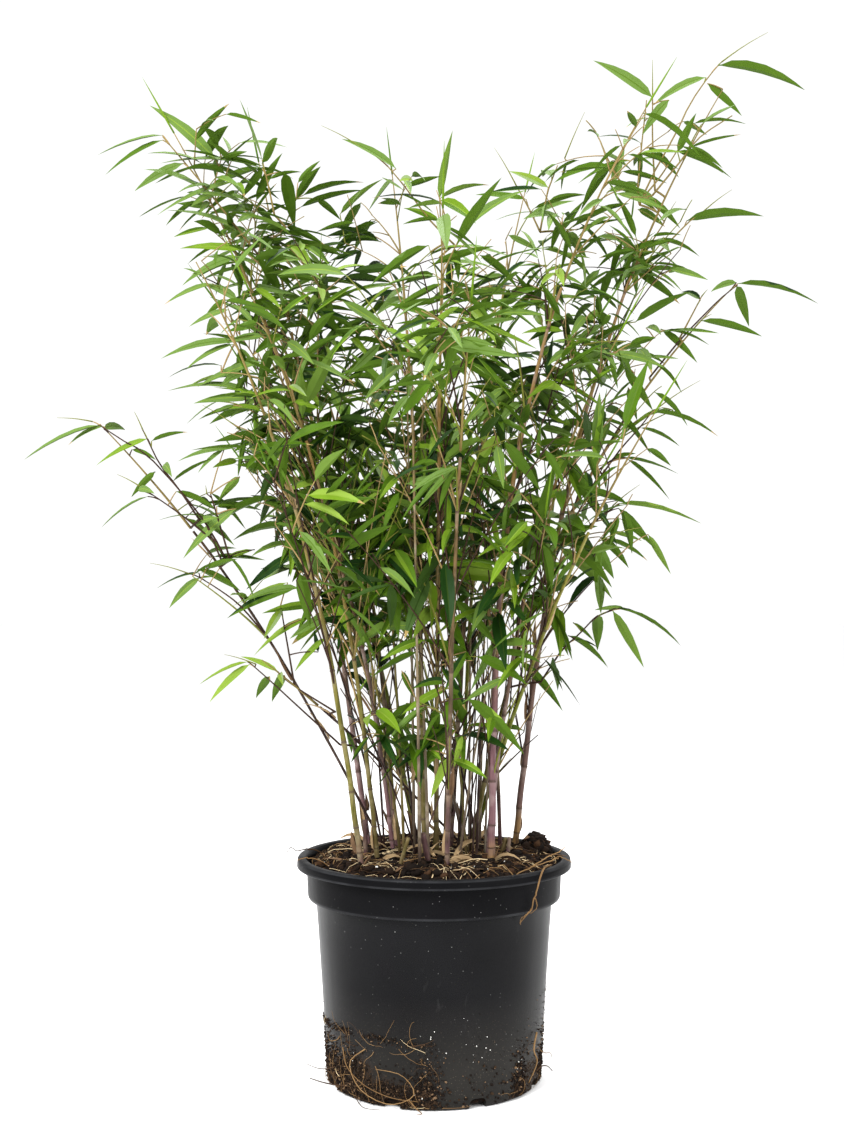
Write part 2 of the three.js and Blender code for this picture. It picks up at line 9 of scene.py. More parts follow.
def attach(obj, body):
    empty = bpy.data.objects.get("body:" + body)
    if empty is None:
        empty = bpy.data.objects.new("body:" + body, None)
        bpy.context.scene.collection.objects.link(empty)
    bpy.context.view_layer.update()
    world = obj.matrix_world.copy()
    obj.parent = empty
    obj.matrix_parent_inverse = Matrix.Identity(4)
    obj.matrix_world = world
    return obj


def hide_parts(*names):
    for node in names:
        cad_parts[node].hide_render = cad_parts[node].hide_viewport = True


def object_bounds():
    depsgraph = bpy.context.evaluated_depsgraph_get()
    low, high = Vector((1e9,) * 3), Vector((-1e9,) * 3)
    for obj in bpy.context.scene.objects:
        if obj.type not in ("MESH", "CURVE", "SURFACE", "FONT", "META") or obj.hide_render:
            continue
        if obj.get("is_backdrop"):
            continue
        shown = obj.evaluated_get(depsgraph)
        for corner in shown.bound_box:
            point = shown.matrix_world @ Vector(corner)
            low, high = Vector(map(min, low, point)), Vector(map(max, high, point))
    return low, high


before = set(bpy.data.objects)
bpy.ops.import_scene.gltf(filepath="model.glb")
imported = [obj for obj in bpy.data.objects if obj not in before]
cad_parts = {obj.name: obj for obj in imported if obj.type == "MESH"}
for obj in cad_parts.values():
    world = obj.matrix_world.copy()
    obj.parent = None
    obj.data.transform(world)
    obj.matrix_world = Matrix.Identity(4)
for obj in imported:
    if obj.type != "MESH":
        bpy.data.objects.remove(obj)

cad_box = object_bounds()

# Pot: a round five litre nursery container, injection moulded in black polypropylene. Its collar is
# stepped out for stacking, a thin lip turns down round the rim, and eight drain notches are moulded
# through the foot corner. Dust, scuffs and dried compost cling to it.
MM = 0.001
FOOT_RADIUS = 87.5
BODY_TOP_RADIUS = 98
BODY_TOP = 149
POT_STEPS = 128
POT_PROFILE = [
    (60, 1.2), (80, 1.2), (82, 0), (84.5, 0), (86.3, 0.5), (87.3, 1.6), (87.6, 3.4),
    (88.6, 20), (90.9, 55), (93.2, 90), (95.5, 125), (97.2, 146.5), (97.9, 148.3), (99.0, 149.0),
    (102.4, 149.0), (103.4, 149.4), (103.9, 150.4), (104.1, 152), (104.5, 162), (105.0, 173),
    (105.2, 178.5), (106.0, 179.5), (110.2, 179.5), (110.9, 178.8), (111.1, 174.7), (111.4, 174.3),
    (112.6, 174.3), (112.95, 174.7), (112.8, 178), (112.4, 180.6), (111.9, 181.5), (110.9, 182.0),
    (107.0, 182.0), (106.1, 181.7), (105.3, 180.6), (104.0, 176.5), (103.2, 170), (102.1, 153),
    (101.2, 151.6), (96.9, 150.6), (95.9, 148.5), (93.4, 120), (91.2, 80), (88.0, 30), (85.4, 4),
    (82, 3), (40, 3),
]
DRAIN_COUNT = 8
DRAIN_WIDTH = 14
DRAIN_DEPTH = 14
DRAIN_HEIGHT = 8
DRAIN_CORNER = 4


def pick(piece):
    """Selects one piece alone, for the operators."""
    bpy.ops.object.select_all(action="DESELECT")
    piece.select_set(True)
    bpy.context.view_layer.objects.active = piece


def turned(name, profile, steps):
    """A round body, drawn up ring by ring from a disc."""
    bpy.ops.object.select_all(action="DESELECT")
    first, low = profile[0]
    bpy.ops.mesh.primitive_circle_add(
        vertices=steps, radius=first * MM, fill_type="NGON", location=(0, 0, low * MM)
    )
    piece = bpy.context.active_object
    piece.name = piece.data.name = name
    bpy.ops.object.mode_set(mode="EDIT")
    bpy.ops.mesh.select_all(action="SELECT")
    for (radius, height), (wider, higher) in zip(profile, profile[1:]):
        bpy.ops.mesh.extrude_region_move(
            TRANSFORM_OT_translate={"value": (0, 0, (higher - height) * MM)}
        )
        grow = wider / radius
        bpy.ops.transform.resize(value=(grow, grow, 1), center_override=(0, 0, higher * MM))
    bpy.ops.mesh.select_all(action="SELECT")
    bpy.ops.mesh.normals_make_consistent(inside=False)
    bpy.ops.object.mode_set(mode="OBJECT")
    bpy.ops.object.transform_apply(location=True, rotation=True, scale=True)
    return piece


def cut_drains(pot):
    """Cuts the drain notches with one bevelled block, copied round the foot."""
    bpy.ops.object.select_all(action="DESELECT")
    bpy.ops.mesh.primitive_cube_add(size=1, location=(0, -FOOT_RADIUS * MM, 0))
    block = bpy.context.active_object
    block.scale = (DRAIN_WIDTH * MM, DRAIN_DEPTH * MM, DRAIN_HEIGHT * 2 * MM)
    bpy.ops.object.transform_apply(location=True, rotation=True, scale=True)
    bpy.ops.object.mode_set(mode="EDIT")
    shape = bmesh.from_edit_mesh(block.data)
    for edge in shape.edges:
        a, b = edge.verts
        edge.select = a.co.z > 0 and b.co.z > 0 and abs(a.co.x - b.co.x) < 1e-6
    bmesh.update_edit_mesh(block.data)
    bpy.ops.mesh.select_mode(type="EDGE")
    bpy.ops.mesh.bevel(offset=DRAIN_CORNER * MM, segments=5, affect="EDGES")
    bpy.ops.object.mode_set(mode="OBJECT")
    for i in range(DRAIN_COUNT):
        copy = block.copy()
        copy.data = block.data.copy()
        bpy.context.collection.objects.link(copy)
        copy.rotation_euler.z = (i + 0.5) * math.tau / DRAIN_COUNT
        cut = pot.modifiers.new("drain", "BOOLEAN")
        cut.object = copy
        cut.operation = "DIFFERENCE"
        pick(pot)
        bpy.context.view_layer.update()
        bpy.ops.object.modifier_apply(modifier=cut.name)
        bpy.data.objects.remove(copy)
    bpy.data.objects.remove(block)


def smooth(piece, angle=35):
    """Smooth faces, with an edge kept where the shape turns sharply."""
    pick(piece)
    bpy.ops.object.shade_smooth_by_angle(angle=math.radians(angle))


class Finish:
    """A material with nodes in front of its shader."""

    def __init__(self, name, colour, roughness, gloss=0.12):
        self.material = bpy.data.materials.new(name)
        self.material.use_nodes = True
        self.nodes = self.material.node_tree.nodes
        self.links = self.material.node_tree.links
        self.shader = self.nodes["Principled BSDF"]
        self.shader.inputs["Base Color"].default_value = (*colour, 1)
        self.shader.inputs["Roughness"].default_value = roughness
        self.shader.inputs["Specular IOR Level"].default_value = gloss
        self.place = self.nodes.new("ShaderNodeTexCoord").outputs["Object"]

    def fill(self, socket, value):
        """Links a value that is a socket, and sets any other."""
        if isinstance(value, bpy.types.NodeSocket):
            self.links.new(value, socket)
        else:
            socket.default_value = value

    def add(self, kind, inputs=(), **settings):
        node = self.nodes.new("ShaderNode" + kind)
        for key, value in settings.items():
            setattr(node, key, value)
        for key, value in dict(inputs).items():
            self.fill(node.inputs[key], value)
        return node

    def axis(self, name):
        return self.add("SeparateXYZ", {"Vector": self.place}).outputs[name]

    def stretched(self, scale):
        node = self.add("Mapping", {"Vector": self.place, "Scale": scale})
        return node.outputs["Vector"]

    def speckle(self, scale, detail=3.0, place=None):
        """Fractal noise from 0 to 1."""
        inputs = {"Vector": place or self.place, "Scale": scale, "Detail": detail}
        return self.add("TexNoise", inputs).outputs["Fac"]

    def cells(self, scale):
        """Cells: the distance from each one's middle, and its chance."""
        inputs = {"Vector": self.place, "Scale": scale}
        node = self.add("TexVoronoi", inputs, feature="F1")
        split = self.add("SeparateColor", {"Color": node.outputs["Color"]})
        return node.outputs["Distance"], split.outputs[0]

    def step(self, value, low, high, start=0.0, end=1.0):
        """A smooth step of a value from low to high."""
        inputs = {"Value": value, "From Min": low, "From Max": high, "To Min": start, "To Max": end}
        return self.add("MapRange", inputs, clamp=True).outputs["Result"]

    def combine(self, operation, a, b):
        return self.add("Math", {0: a, 1: b}, operation=operation).outputs[0]

    def times(self, a, b):
        return self.combine("MULTIPLY", a, b)

    def mixed(self, share, a, b):
        node = self.nodes.new("ShaderNodeMix")
        node.data_type = "RGBA"
        self.fill(node.inputs["Factor"], share)
        for socket, value in ((node.inputs[6], a), (node.inputs[7], b)):
            self.fill(socket, (*value, 1) if isinstance(value, tuple) else value)
        return node.outputs[2]

    def colour(self, socket):
        self.links.new(socket, self.shader.inputs["Base Color"])

    def roughness(self, socket):
        self.links.new(socket, self.shader.inputs["Roughness"])

    def bump(self, height, distance, strength=1.0):
        inputs = {"Height": height, "Distance": distance, "Strength": strength}
        node = self.add("Bump", inputs)
        self.links.new(node.outputs["Normal"], self.shader.inputs["Normal"])


BLACKS = ((0.0012, 0.0012, 0.0014), (0.0065, 0.0065, 0.0074))
HAZE = (0.036, 0.033, 0.028)
SCUFF = (0.45, 0.45, 0.44)
DUST = (0.5, 0.5, 0.48)
# Painted highlight: the pale colour of thin bands along the collar and lip edges.
EDGE_HIGHLIGHT = (0.034, 0.035, 0.038)
PEPPER = (0.14, 0.115, 0.085)
SOILS = ((0.006, 0.004, 0.003), (0.046, 0.027, 0.015))
# Heights of the painted highlight bands at the collar's foot and along the lip's edges.
HIGHLIGHT_BANDS = ((0.1497, 0.151), (0.1743, 0.1756), (0.1804, 0.1816))


def specks(finish, scale, size, core, sure):
    """Small round specks, kept by chance, soft from their size to their core."""
    distance, chance = finish.cells(scale)
    return finish.times(finish.step(distance, size, core), finish.step(chance, 0.35, sure))


def dust_wear_and_highlights(finish, height):
    """The plastic's own colour under haze, scuffs and dust, with painted highlights on the rim
    edges.
    """
    plastic = finish.mixed(finish.speckle(14.0, 5.0), *BLACKS)
    cloudy = finish.step(finish.speckle(9.0), 0.3, 0.62, 0.35, 1.0)
    haze = finish.times(finish.step(height, 0.088, 0.03), cloudy)
    plastic = finish.mixed(finish.times(haze, 0.4), plastic, HAZE)
    scuffs = finish.speckle(190.0, 4.0, finish.stretched((1.0, 1.0, 0.5)))
    patches = finish.step(finish.speckle(17.0), 0.54, 0.64)
    film = finish.times(finish.step(scuffs, 0.6, 0.74), patches)
    worn = finish.mixed(finish.times(film, 0.025), plastic, SCUFF)
    drifts = finish.step(finish.speckle(13.0), 0.44, 0.6)
    dust = finish.times(specks(finish, 230.0, 0.12, 0.05, 1.0), drifts)
    dust_and_highlights = finish.mixed(finish.times(dust, 0.4), worn, DUST)
    # Painted highlights: thin pale bands at the collar's foot and along the lip, where the rounded
    # edges would catch the lamps, unevenly strong.
    edges = 0.0
    for low, high in HIGHLIGHT_BANDS:
        above = finish.step(height, low - 0.0004, low)
        line = finish.times(above, finish.step(height, high + 0.0006, high))
        edges = finish.combine("MAXIMUM", edges, line)
    uneven = finish.step(finish.speckle(30.0), 0.3, 0.62, 0.05, 0.55)
    dust_and_highlights = finish.mixed(finish.times(edges, uneven), dust_and_highlights, EDGE_HIGHLIGHT)
    grit = specks(finish, 620.0, 0.22, 0.1, 0.85)
    pepper = finish.times(grit, finish.step(height, 0.084, 0.034))
    return finish.mixed(finish.times(pepper, 0.65), dust_and_highlights, PEPPER)


def black_plastic():
    """Black moulded plastic, with dust, scuffs, dried compost towards the foot, and painted
    highlights on the rim edges.
    """
    finish = Finish("pot_plastic", (0.004, 0.004, 0.0045), 0.4)
    height, across = finish.axis("Z"), finish.axis("X")
    sheen = finish.step(height, 0.146, 0.153, 0.064, 0.022)
    finish.links.new(sheen, finish.shader.inputs["Specular IOR Level"])
    left, right = finish.step(across, 0.000, -0.02), finish.step(across, 0.058, 0.074)
    low = finish.times(finish.step(height, 0.064, 0.01), finish.combine("MAXIMUM", left, right))
    patches = finish.speckle(26.0, 6.0)
    crusted = finish.step(finish.combine("ADD", low, patches), 1.12, 1.28)
    dirt = finish.times(crusted, finish.step(finish.speckle(620.0, 2.0), 0.38, 0.56, 0.1, 1.0))
    soil = finish.mixed(finish.speckle(300.0), *SOILS)
    finish.colour(finish.mixed(finish.times(dirt, 0.85), dust_wear_and_highlights(finish, height), soil))
    streaks = finish.speckle(60.0, 2.0, finish.stretched((1.0, 1.0, 0.08)))
    gloss = finish.step(streaks, 0.3, 0.7, 0.3, 0.4)
    finish.roughness(finish.combine("MAXIMUM", gloss, finish.times(dirt, 0.92)))
    grain = finish.times(finish.speckle(900.0, 2.0), 0.12)
    finish.bump(finish.combine("ADD", grain, finish.times(dirt, patches)), 0.0012, 0.6)
    return finish.material


pot = turned("nursery_pot", POT_PROFILE, POT_STEPS)
cut_drains(pot)
smooth(pot)
pot.data.materials.append(black_plastic())
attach(pot, "root")
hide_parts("pot")

# Compost: coarse dark potting compost with the root ball in it, level under the clump and lower at
# the wall. One clod stands up at the right. Its top is raked into lumps.
COMPOST_TOP = 184
COMPOST_LEVEL = 87
COMPOST_WALL = 104
COMPOST_FALL = 9
COMPOST_SIDE = [(70, 4), (84.9, 4), (95.2, 148.5), (101.2, 152.6), (102.3, 174.8)]
COMPOST_EDGE = 102.3
COMPOST_BRINK = 175
CLOD = (88, 36)
CLOD_RADIUS = 15
CLOD_HEIGHT = 11
COMPOST_STEPS = 180
COMPOST_RINGS = 62


def compost_height(x, y):
    """Height of the compost at a place, in millimetres."""
    fall = min(max((math.hypot(x, y) - COMPOST_LEVEL) / (COMPOST_WALL - COMPOST_LEVEL), 0), 1)
    away = math.hypot(x - CLOD[0], y - CLOD[1]) / CLOD_RADIUS
    clod = CLOD_HEIGHT * (1 - away**2) ** 2 if away < 1 else 0
    return COMPOST_TOP - COMPOST_FALL * fall + clod


def compost_lumps(x, y):
    """Lumps and hollows of the compost there, in millimetres."""
    broad = noise.noise(Vector((x, y, 0)) * 0.05) * 2.2
    lump = noise.noise(Vector((x, y, 7)) * 0.17) * 1.7
    fine = noise.noise(Vector((x, y, 23)) * 0.45) * 0.9
    return broad + lump + fine - 1.2


def compost_brown():
    """Dark compost in crumbs of many browns, with paler flecks."""
    finish = Finish("compost", (0.05, 0.03, 0.02), 0.95)
    distance, shade = finish.cells(330.0)
    brown = finish.mixed(shade, (0.002, 0.0013, 0.001), (0.017, 0.008, 0.0045))
    pale = finish.step(finish.speckle(260.0, 2.0), 0.62, 0.72, 0.0, 0.3)
    finish.colour(finish.mixed(pale, brown, (0.1, 0.058, 0.03)))
    finish.bump(finish.times(distance, -1.0), 0.0022, 0.8)
    return finish.material


shares = [(1 - i / COMPOST_RINGS) ** 0.9 for i in range(1, COMPOST_RINGS)]
top_rings = [(COMPOST_EDGE * share, COMPOST_BRINK) for share in shares]
compost = turned("compost_bed", COMPOST_SIDE + top_rings, COMPOST_STEPS)
for vertex in compost.data.vertices:
    x, y, z = vertex.co / MM
    if z > COMPOST_BRINK - 0.1:
        inner = 1 - min(max((math.hypot(x, y) - 98) / 4, 0), 1)
        vertex.co.z = (compost_height(x, y) + compost_lumps(x, y) * (0.4 + 0.6 * inner)) * MM
smooth(compost, 50)
compost.data.materials.append(compost_brown())
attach(compost, "root")
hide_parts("compost")

# Crumbs and perlite: loose lumps of compost on the bed, more of them on the clod and in a heap
# beside it, and small white grains of expanded perlite mixed in when it was blended.
CRUMB_SEED = 11
CRUMB_COUNT = 3000
CRUMB_LIMIT = 101
CLOD_CRUMBS = 640
HEAP = (91, 20)
HEAP_RADIUS = 14
HEAP_HEIGHT = 10
PERLITE_COUNT = 90
PERLITE_LIMIT = 99


def placed(name, data):
    """A new object of the scene that holds some data."""
    thing = bpy.data.objects.new(name, data)
    bpy.context.collection.objects.link(thing)
    return thing


def joined(name, points, faces, materials, face_materials=None, body="root"):
    """One mesh piece from arrays of points, in millimetres, and faces."""
    mesh = bpy.data.meshes.new(name)
    mesh.from_pydata((np.asarray(points) * MM).tolist(), [], faces)
    for material in materials:
        mesh.materials.append(material)
    if face_materials is not None:
        mesh.polygons.foreach_set("material_index", np.asarray(face_materials, dtype=np.int32))
    mesh.polygons.foreach_set("use_smooth", np.ones(len(mesh.polygons), dtype=bool))
    mesh.update()
    piece = placed(name, mesh)
    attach(piece, body)
    return piece


def grains(places, sizes, flatness, rng):
    """Small rough lumps, each turned and dented by chance."""
    bpy.ops.object.select_all(action="DESELECT")
    bpy.ops.mesh.primitive_ico_sphere_add(subdivisions=1, radius=1)
    lump = bpy.context.active_object
    corners = np.array([vertex.co for vertex in lump.data.vertices])
    triangles = np.array([list(face.vertices) for face in lump.data.polygons])
    bpy.data.objects.remove(lump)
    count = len(places)
    spin = np.linalg.qr(rng.normal(size=(count, 3, 3)))[0]
    spin[np.linalg.det(spin) < 0, 0] *= -1
    dents = rng.uniform(0.65, 1.25, (count, len(corners), 1))
    stretch = rng.uniform(0.6, 1.3, (count, 1, 3))
    shapes = np.einsum("nij,nkj->nki", spin, corners[None] * dents * stretch)
    shapes[:, :, 2] *= flatness
    points = shapes * np.asarray(sizes)[:, None, None] + np.asarray(places)[:, None, :]
    faces = triangles[None] + (np.arange(count) * len(corners))[:, None, None]
    return points.reshape(-1, 3), faces.reshape(-1, 3).tolist(), len(triangles)


def plain(name, dark, light, scale, roughness):
    """A finish that drifts between two shades of one colour."""
    finish = Finish(name, light, roughness)
    finish.colour(finish.mixed(finish.speckle(scale), dark, light))
    finish.bump(finish.speckle(scale * 6), 0.0004, 0.5)
    return finish.material


def strewn(count, limit, rng):
    """Places strewn evenly over the round bed."""
    radii = limit * np.sqrt(rng.uniform(0.0, 1.0, count))
    angles = rng.uniform(0, math.tau, count)
    return np.stack([radii * np.cos(angles), radii * np.sin(angles)], axis=1)


def bed_height(x, y):
    return compost_height(x, y) + compost_lumps(x, y)


def on_bed(places, lift):
    """Places lifted above the lumpy bed."""
    return np.column_stack([places, np.array([bed_height(x, y) for x, y in places]) + lift])


def grain_piece(name, places, sizes, flatness, finishes, rng, shares=None):
    """A piece of many grains, each with one of the finishes."""
    points, faces, per_grain = grains(places, sizes, flatness, rng)
    shades = rng.choice(len(finishes), len(places), p=shares) if shares else [0] * len(places)
    return joined(name, points, faces, finishes, np.repeat(shades, per_grain))


rng = np.random.default_rng(CRUMB_SEED)
loose_places = strewn(CRUMB_COUNT, CRUMB_LIMIT, rng)
heaped = rng.uniform(size=(CLOD_CRUMBS, 1)) < 0.6
clod_places = np.where(heaped, HEAP, CLOD) + rng.normal(0, 6.5, (CLOD_CRUMBS, 2))
flat_places = np.concatenate([loose_places, clod_places])
sizes = rng.gamma(3.0, 0.5, len(flat_places)) + 0.35
sizes[-CLOD_CRUMBS:] += 0.5
keep = np.hypot(*flat_places.T) < CRUMB_LIMIT + 0.5 - sizes
flat_places, sizes = flat_places[keep], sizes[keep]
away = np.hypot(*(flat_places - HEAP).T) / HEAP_RADIUS
places = on_bed(flat_places, HEAP_HEIGHT * (1 - np.minimum(away, 1) ** 2) ** 2)
places[:, 2] += sizes * 0.3
crumb_browns = [
    plain("crumb_dark", (0.003, 0.002, 0.0015), (0.009, 0.005, 0.003), 200.0, 0.95),
    plain("crumb_brown", (0.006, 0.0035, 0.002), (0.019, 0.01, 0.0055), 200.0, 0.95),
    plain("crumb_rust", (0.024, 0.011, 0.005), (0.056, 0.028, 0.013), 200.0, 0.9),
]
crumbs = grain_piece("compost_crumbs", places, sizes, 0.8, crumb_browns, rng, [0.5, 0.36, 0.14])

flat_places = strewn(PERLITE_COUNT, PERLITE_LIMIT, rng)
sizes = rng.uniform(0.4, 1.1, PERLITE_COUNT)
white = plain("perlite", (0.55, 0.54, 0.5), (0.85, 0.84, 0.8), 300.0, 0.9)
perlite = grain_piece("perlite", on_bed(flat_places, 1.1), sizes, 0.85, [white], rng)

# Fibres and roots: fine pale roots, coir and straw lie over the compost in loose curves, and a few
# hang over the rim. Each is a thin round thread with a taper.
FIBRE_COUNT = 540
STRAW_COUNT = 22
ROOT_STOPS = 22
BED_EDGE = 100.5


def units(rows, least=0.0):
    """Rows of directions, each brought to a length of one."""
    return rows / (np.linalg.norm(rows, axis=-1, keepdims=True) + least)


def threads(paths, thickness, sides=4):
    """Tapering round threads with closed ends. All paths have equally many places."""
    paths = np.asarray(paths, dtype=float)
    thickness = np.asarray(thickness, dtype=float)
    count, stops, _ = paths.shape
    along = units(np.gradient(paths, axis=1), 1e-12)
    side = units(np.cross(along[:, 0], [0.13, 0.31, 0.94]), 1e-12)
    turns = np.arange(sides) * math.tau / sides
    cosines, sines = np.cos(turns)[None, :, None], np.sin(turns)[None, :, None]
    rings = np.empty((count, stops, sides, 3))
    for i in range(stops):
        aslant = along[:, i] * np.sum(side * along[:, i], axis=1, keepdims=True)
        side = units(side - aslant, 1e-12)
        other = np.cross(along[:, i], side)
        reach = cosines * side[:, None] + sines * other[:, None]
        rings[:, i] = paths[:, i, None] + reach * thickness[:, i, None, None] / 2
    ring, numbers = np.arange(sides), np.arange(count)
    after = (ring + 1) % sides
    quad = np.stack([ring, after, after + sides, ring + sides], axis=1)
    starts = np.arange(count * stops).reshape(count, stops)[:, :-1].reshape(-1) * sides
    faces = (quad[None] + starts[:, None, None]).reshape(-1, 4).tolist()
    feet = (numbers * stops * sides)[:, None]
    faces += (feet + ring[::-1][None]).tolist()
    faces += (feet + (stops - 1) * sides + ring[None]).tolist()
    owner = np.concatenate([np.repeat(numbers, (stops - 1) * sides), numbers, numbers])
    return rings.reshape(-1, 3), faces, owner


def thread_piece(name, paths, thickness, sides, finishes, shades):
    """A piece of many threads, each with one of the finishes."""
    points, faces, owner = threads(paths, thickness, sides)
    return joined(name, points, faces, finishes, np.asarray(shades)[owner])


def tapered(girths, thin, stops):
    """Girths of threads that thin to a share of their first."""
    return np.asarray(girths)[:, None] * np.linspace(1, thin, stops)[None]


def level_place(radius, angle):
    return radius * math.cos(angle), radius * math.sin(angle)


def any_turn(rng):
    """Any angle of the full circle."""
    return rng.uniform(0, math.tau)


def lying_paths(count, stops, spans, limit, rng):
    """Loose curves that lie on the compost."""
    paths = []
    for _ in range(count):
        x, y = level_place(limit * math.sqrt(rng.uniform()), any_turn(rng))
        heading, bend = any_turn(rng), rng.normal(0, 0.11)
        step = rng.uniform(*spans) / (stops - 1)
        lift = rng.uniform(0.4, 2.6)
        path = []
        for i in range(stops):
            if math.hypot(x, y) > BED_EDGE:
                shrink = BED_EDGE / math.hypot(x, y)
                x, y = x * shrink, y * shrink
            arch = lift * math.sin(math.pi * i / (stops - 1))
            path.append((x, y, bed_height(x, y) + 0.7 + arch))
            heading += bend + rng.normal(0, 0.12)
            x, y = x + step * math.cos(heading), y + step * math.sin(heading)
        paths.append(path)
    return np.array(paths)


fibre_colours = [
    plain("fibre_brown", (0.022, 0.011, 0.005), (0.068, 0.035, 0.016), 90.0, 0.85),
    plain("fibre_tan", (0.12, 0.066, 0.027), (0.3, 0.182, 0.078), 90.0, 0.8),
    plain("root_pale", (0.48, 0.35, 0.18), (0.8, 0.64, 0.4), 90.0, 0.75),
    plain("root_amber", (0.09, 0.046, 0.018), (0.24, 0.14, 0.058), 160.0, 0.75),
]
BROWN, TAN, PALE, AMBER = range(4)
paths = lying_paths(FIBRE_COUNT, 7, (9, 38), 100, rng)
girths = rng.gamma(4.0, 0.085, FIBRE_COUNT) + 0.18
shades = rng.choice([BROWN, TAN, PALE], FIBRE_COUNT, p=[0.48, 0.28, 0.24])
fibres = thread_piece(
    "compost_fibres", paths, tapered(girths, 0.45, 7), 4, fibre_colours, shades
)

paths = lying_paths(STRAW_COUNT, 6, (30, 62), 84, rng)
paths[:, :, 2] += 1.2
girths = np.tile(np.linspace(0.95, 0.5, 6), (STRAW_COUNT, 1))
shades = rng.choice(2, STRAW_COUNT, p=[0.5, 0.5])
straw = thread_piece("straw", paths, girths, 5, fibre_colours[TAN:AMBER], shades)


def drawn(corners, stops):
    """A smooth path through a few corners, in a set number of places."""
    corners = np.array(corners, dtype=float)
    shares = np.linspace(0, len(corners) - 1, stops)
    index = np.minimum(shares.astype(int), len(corners) - 2)
    t = (shares - index)[:, None]
    before = corners[np.maximum(index - 1, 0)]
    a, b = corners[index], corners[index + 1]
    after = corners[np.minimum(index + 2, len(corners) - 1)]
    return 0.5 * (2 * a + (b - before) * t + (2 * before - 5 * a + 4 * b - after) * t**2
                  + (3 * a - before - 3 * b + after) * t**3)


def wall_radius(height):
    """Radius of the outside wall below the collar."""
    return FOOT_RADIUS + (BODY_TOP_RADIUS - FOOT_RADIUS) * height / BODY_TOP


def on_wall(turn, height, out=0.5):
    """A place on the outside of the pot, by its turn from the front and its height."""
    if height > 181.5:
        radius = 109
    elif height > 174:
        radius = 113.1
    elif height > 150:
        radius = 104 + (height - 150) / 24
    else:
        radius = wall_radius(height)
    angle = math.radians(turn)
    return ((radius + out) * math.sin(angle), -(radius + out) * math.cos(angle), height)


rim_roots = [
    [(94, -36, 180), (86, -66, 183.5), on_wall(45, 181, 3), on_wall(44.6, 170, 8),
     on_wall(44.9, 162, 5), on_wall(44.4, 154, 3.2), on_wall(43, 148, 6), on_wall(41.4, 142, 2)],
    [on_wall(44.4, 154, 3.4), on_wall(41.8, 151, 4), on_wall(41.0, 146, 4.5),
     on_wall(41.8, 141, 2.2)],
    [on_wall(44.9, 163, 5), on_wall(46.4, 158, 5), on_wall(46.9, 153, 4), on_wall(45.8, 149, 5.5)],
    [(-88, 10, 179), (-98, 6, 184.5), (-106, 2, 186.5), (-113, -2, 185.5), (-118, -5, 188.5),
     (-122, -7, 184)],
    [(-80, -40, 177), (-92, -38, 184), (-104, -36, 185.6), (-110, -35, 183.4)],
    [(70, -60, 178), (84, -52, 186), (96, -44, 190.5), (106, -37, 195)],
    [(60, -74, 178), (74, -70, 184), (86, -66, 187), (98, -58, 190)],
    [(92, -30, 180), (100, -33, 186), (107, -36, 184), (112, -38, 181)],
]
paths = np.array([drawn(corners, ROOT_STOPS) for corners in rim_roots])
wobble = rng.normal(0, 0.25, paths.shape)
wobble[:, 0] = 0
girths = tapered([1.7, 1.0, 1.0, 1.3, 1.1, 1.3, 1.1, 0.9], 0.5, ROOT_STOPS)
shades = [AMBER, AMBER, AMBER, BROWN, AMBER, TAN, TAN, TAN]
rim = thread_piece("rim_roots", paths + wobble, girths, 5, fibre_colours, shades)

# Dirt on the pot: compost that splashed and dried on the lower wall, thickest at the left and right
# of the front and in a drying line at the left, with pale specks and root threads stuck in it.
DIRT_CRUMBS = 6200
DIRT_SPECKS = 44
LONE_SPECKS = 16
WALL_ROOTS = 96
TIDE_ROOTS = 22
TIDE_CRUMBS = 760
TIDE_HEIGHT = 50
TIDE_CLUMPS = [-94, -84, -74, -65, -57, -49, -38, -30, -21, -13, -5]
TIDE_SHARES = [0.12, 0.08, 0.11, 0.05, 0.14, 0.12, 0.04, 0.11, 0.11, 0.04, 0.08]
# Each spot of dirt: its turn, how far up and round it spreads, and its share.
DIRT_SPOTS = np.array([
    (-68, 26, 14, 0.17), (-50, 24, 13, 0.17), (-22, 11, 17, 0.09), (-10, 14, 9, 0.06),
    (-3, 27, 6, 0.1), (26, 30, 18, 0.02), (49, 22, 5, 0.07), (78, 44, 12, 0.09),
    (-90, 34, 14, 0.05), (118, 24, 34, 0.07), (165, 18, 26, 0.04), (-150, 28, 32, 0.07),
])


def on_wall_rows(turns, heights, out):
    """Places on the lower outside wall, as rows."""
    radii = wall_radius(heights) + out
    angles = np.radians(turns)
    return np.column_stack([radii * np.sin(angles), -radii * np.cos(angles), heights])


def dirt_places(count, rng):
    """Turns and heights of dirt round its spots, under the drying line and clear of drains."""
    spot = DIRT_SPOTS[rng.choice(len(DIRT_SPOTS), count, p=DIRT_SPOTS[:, 3])]
    turns = spot[:, 0] + rng.normal(0, 1, count) * spot[:, 2] * 0.62
    heights = 2 + np.abs(rng.normal(0, 1, count)) * spot[:, 1] * 0.95
    over_tide = (turns > -95) & (turns < 4) & (heights > TIDE_HEIGHT)
    heights = np.where(over_tide, heights - 26, heights)
    beside_drain = np.abs(turns % (360 / DRAIN_COUNT) - 180 / DRAIN_COUNT)
    heights = np.where((heights < 10) & (beside_drain < 5), heights + 9, heights)
    return turns, np.clip(heights, 2.0, 76)


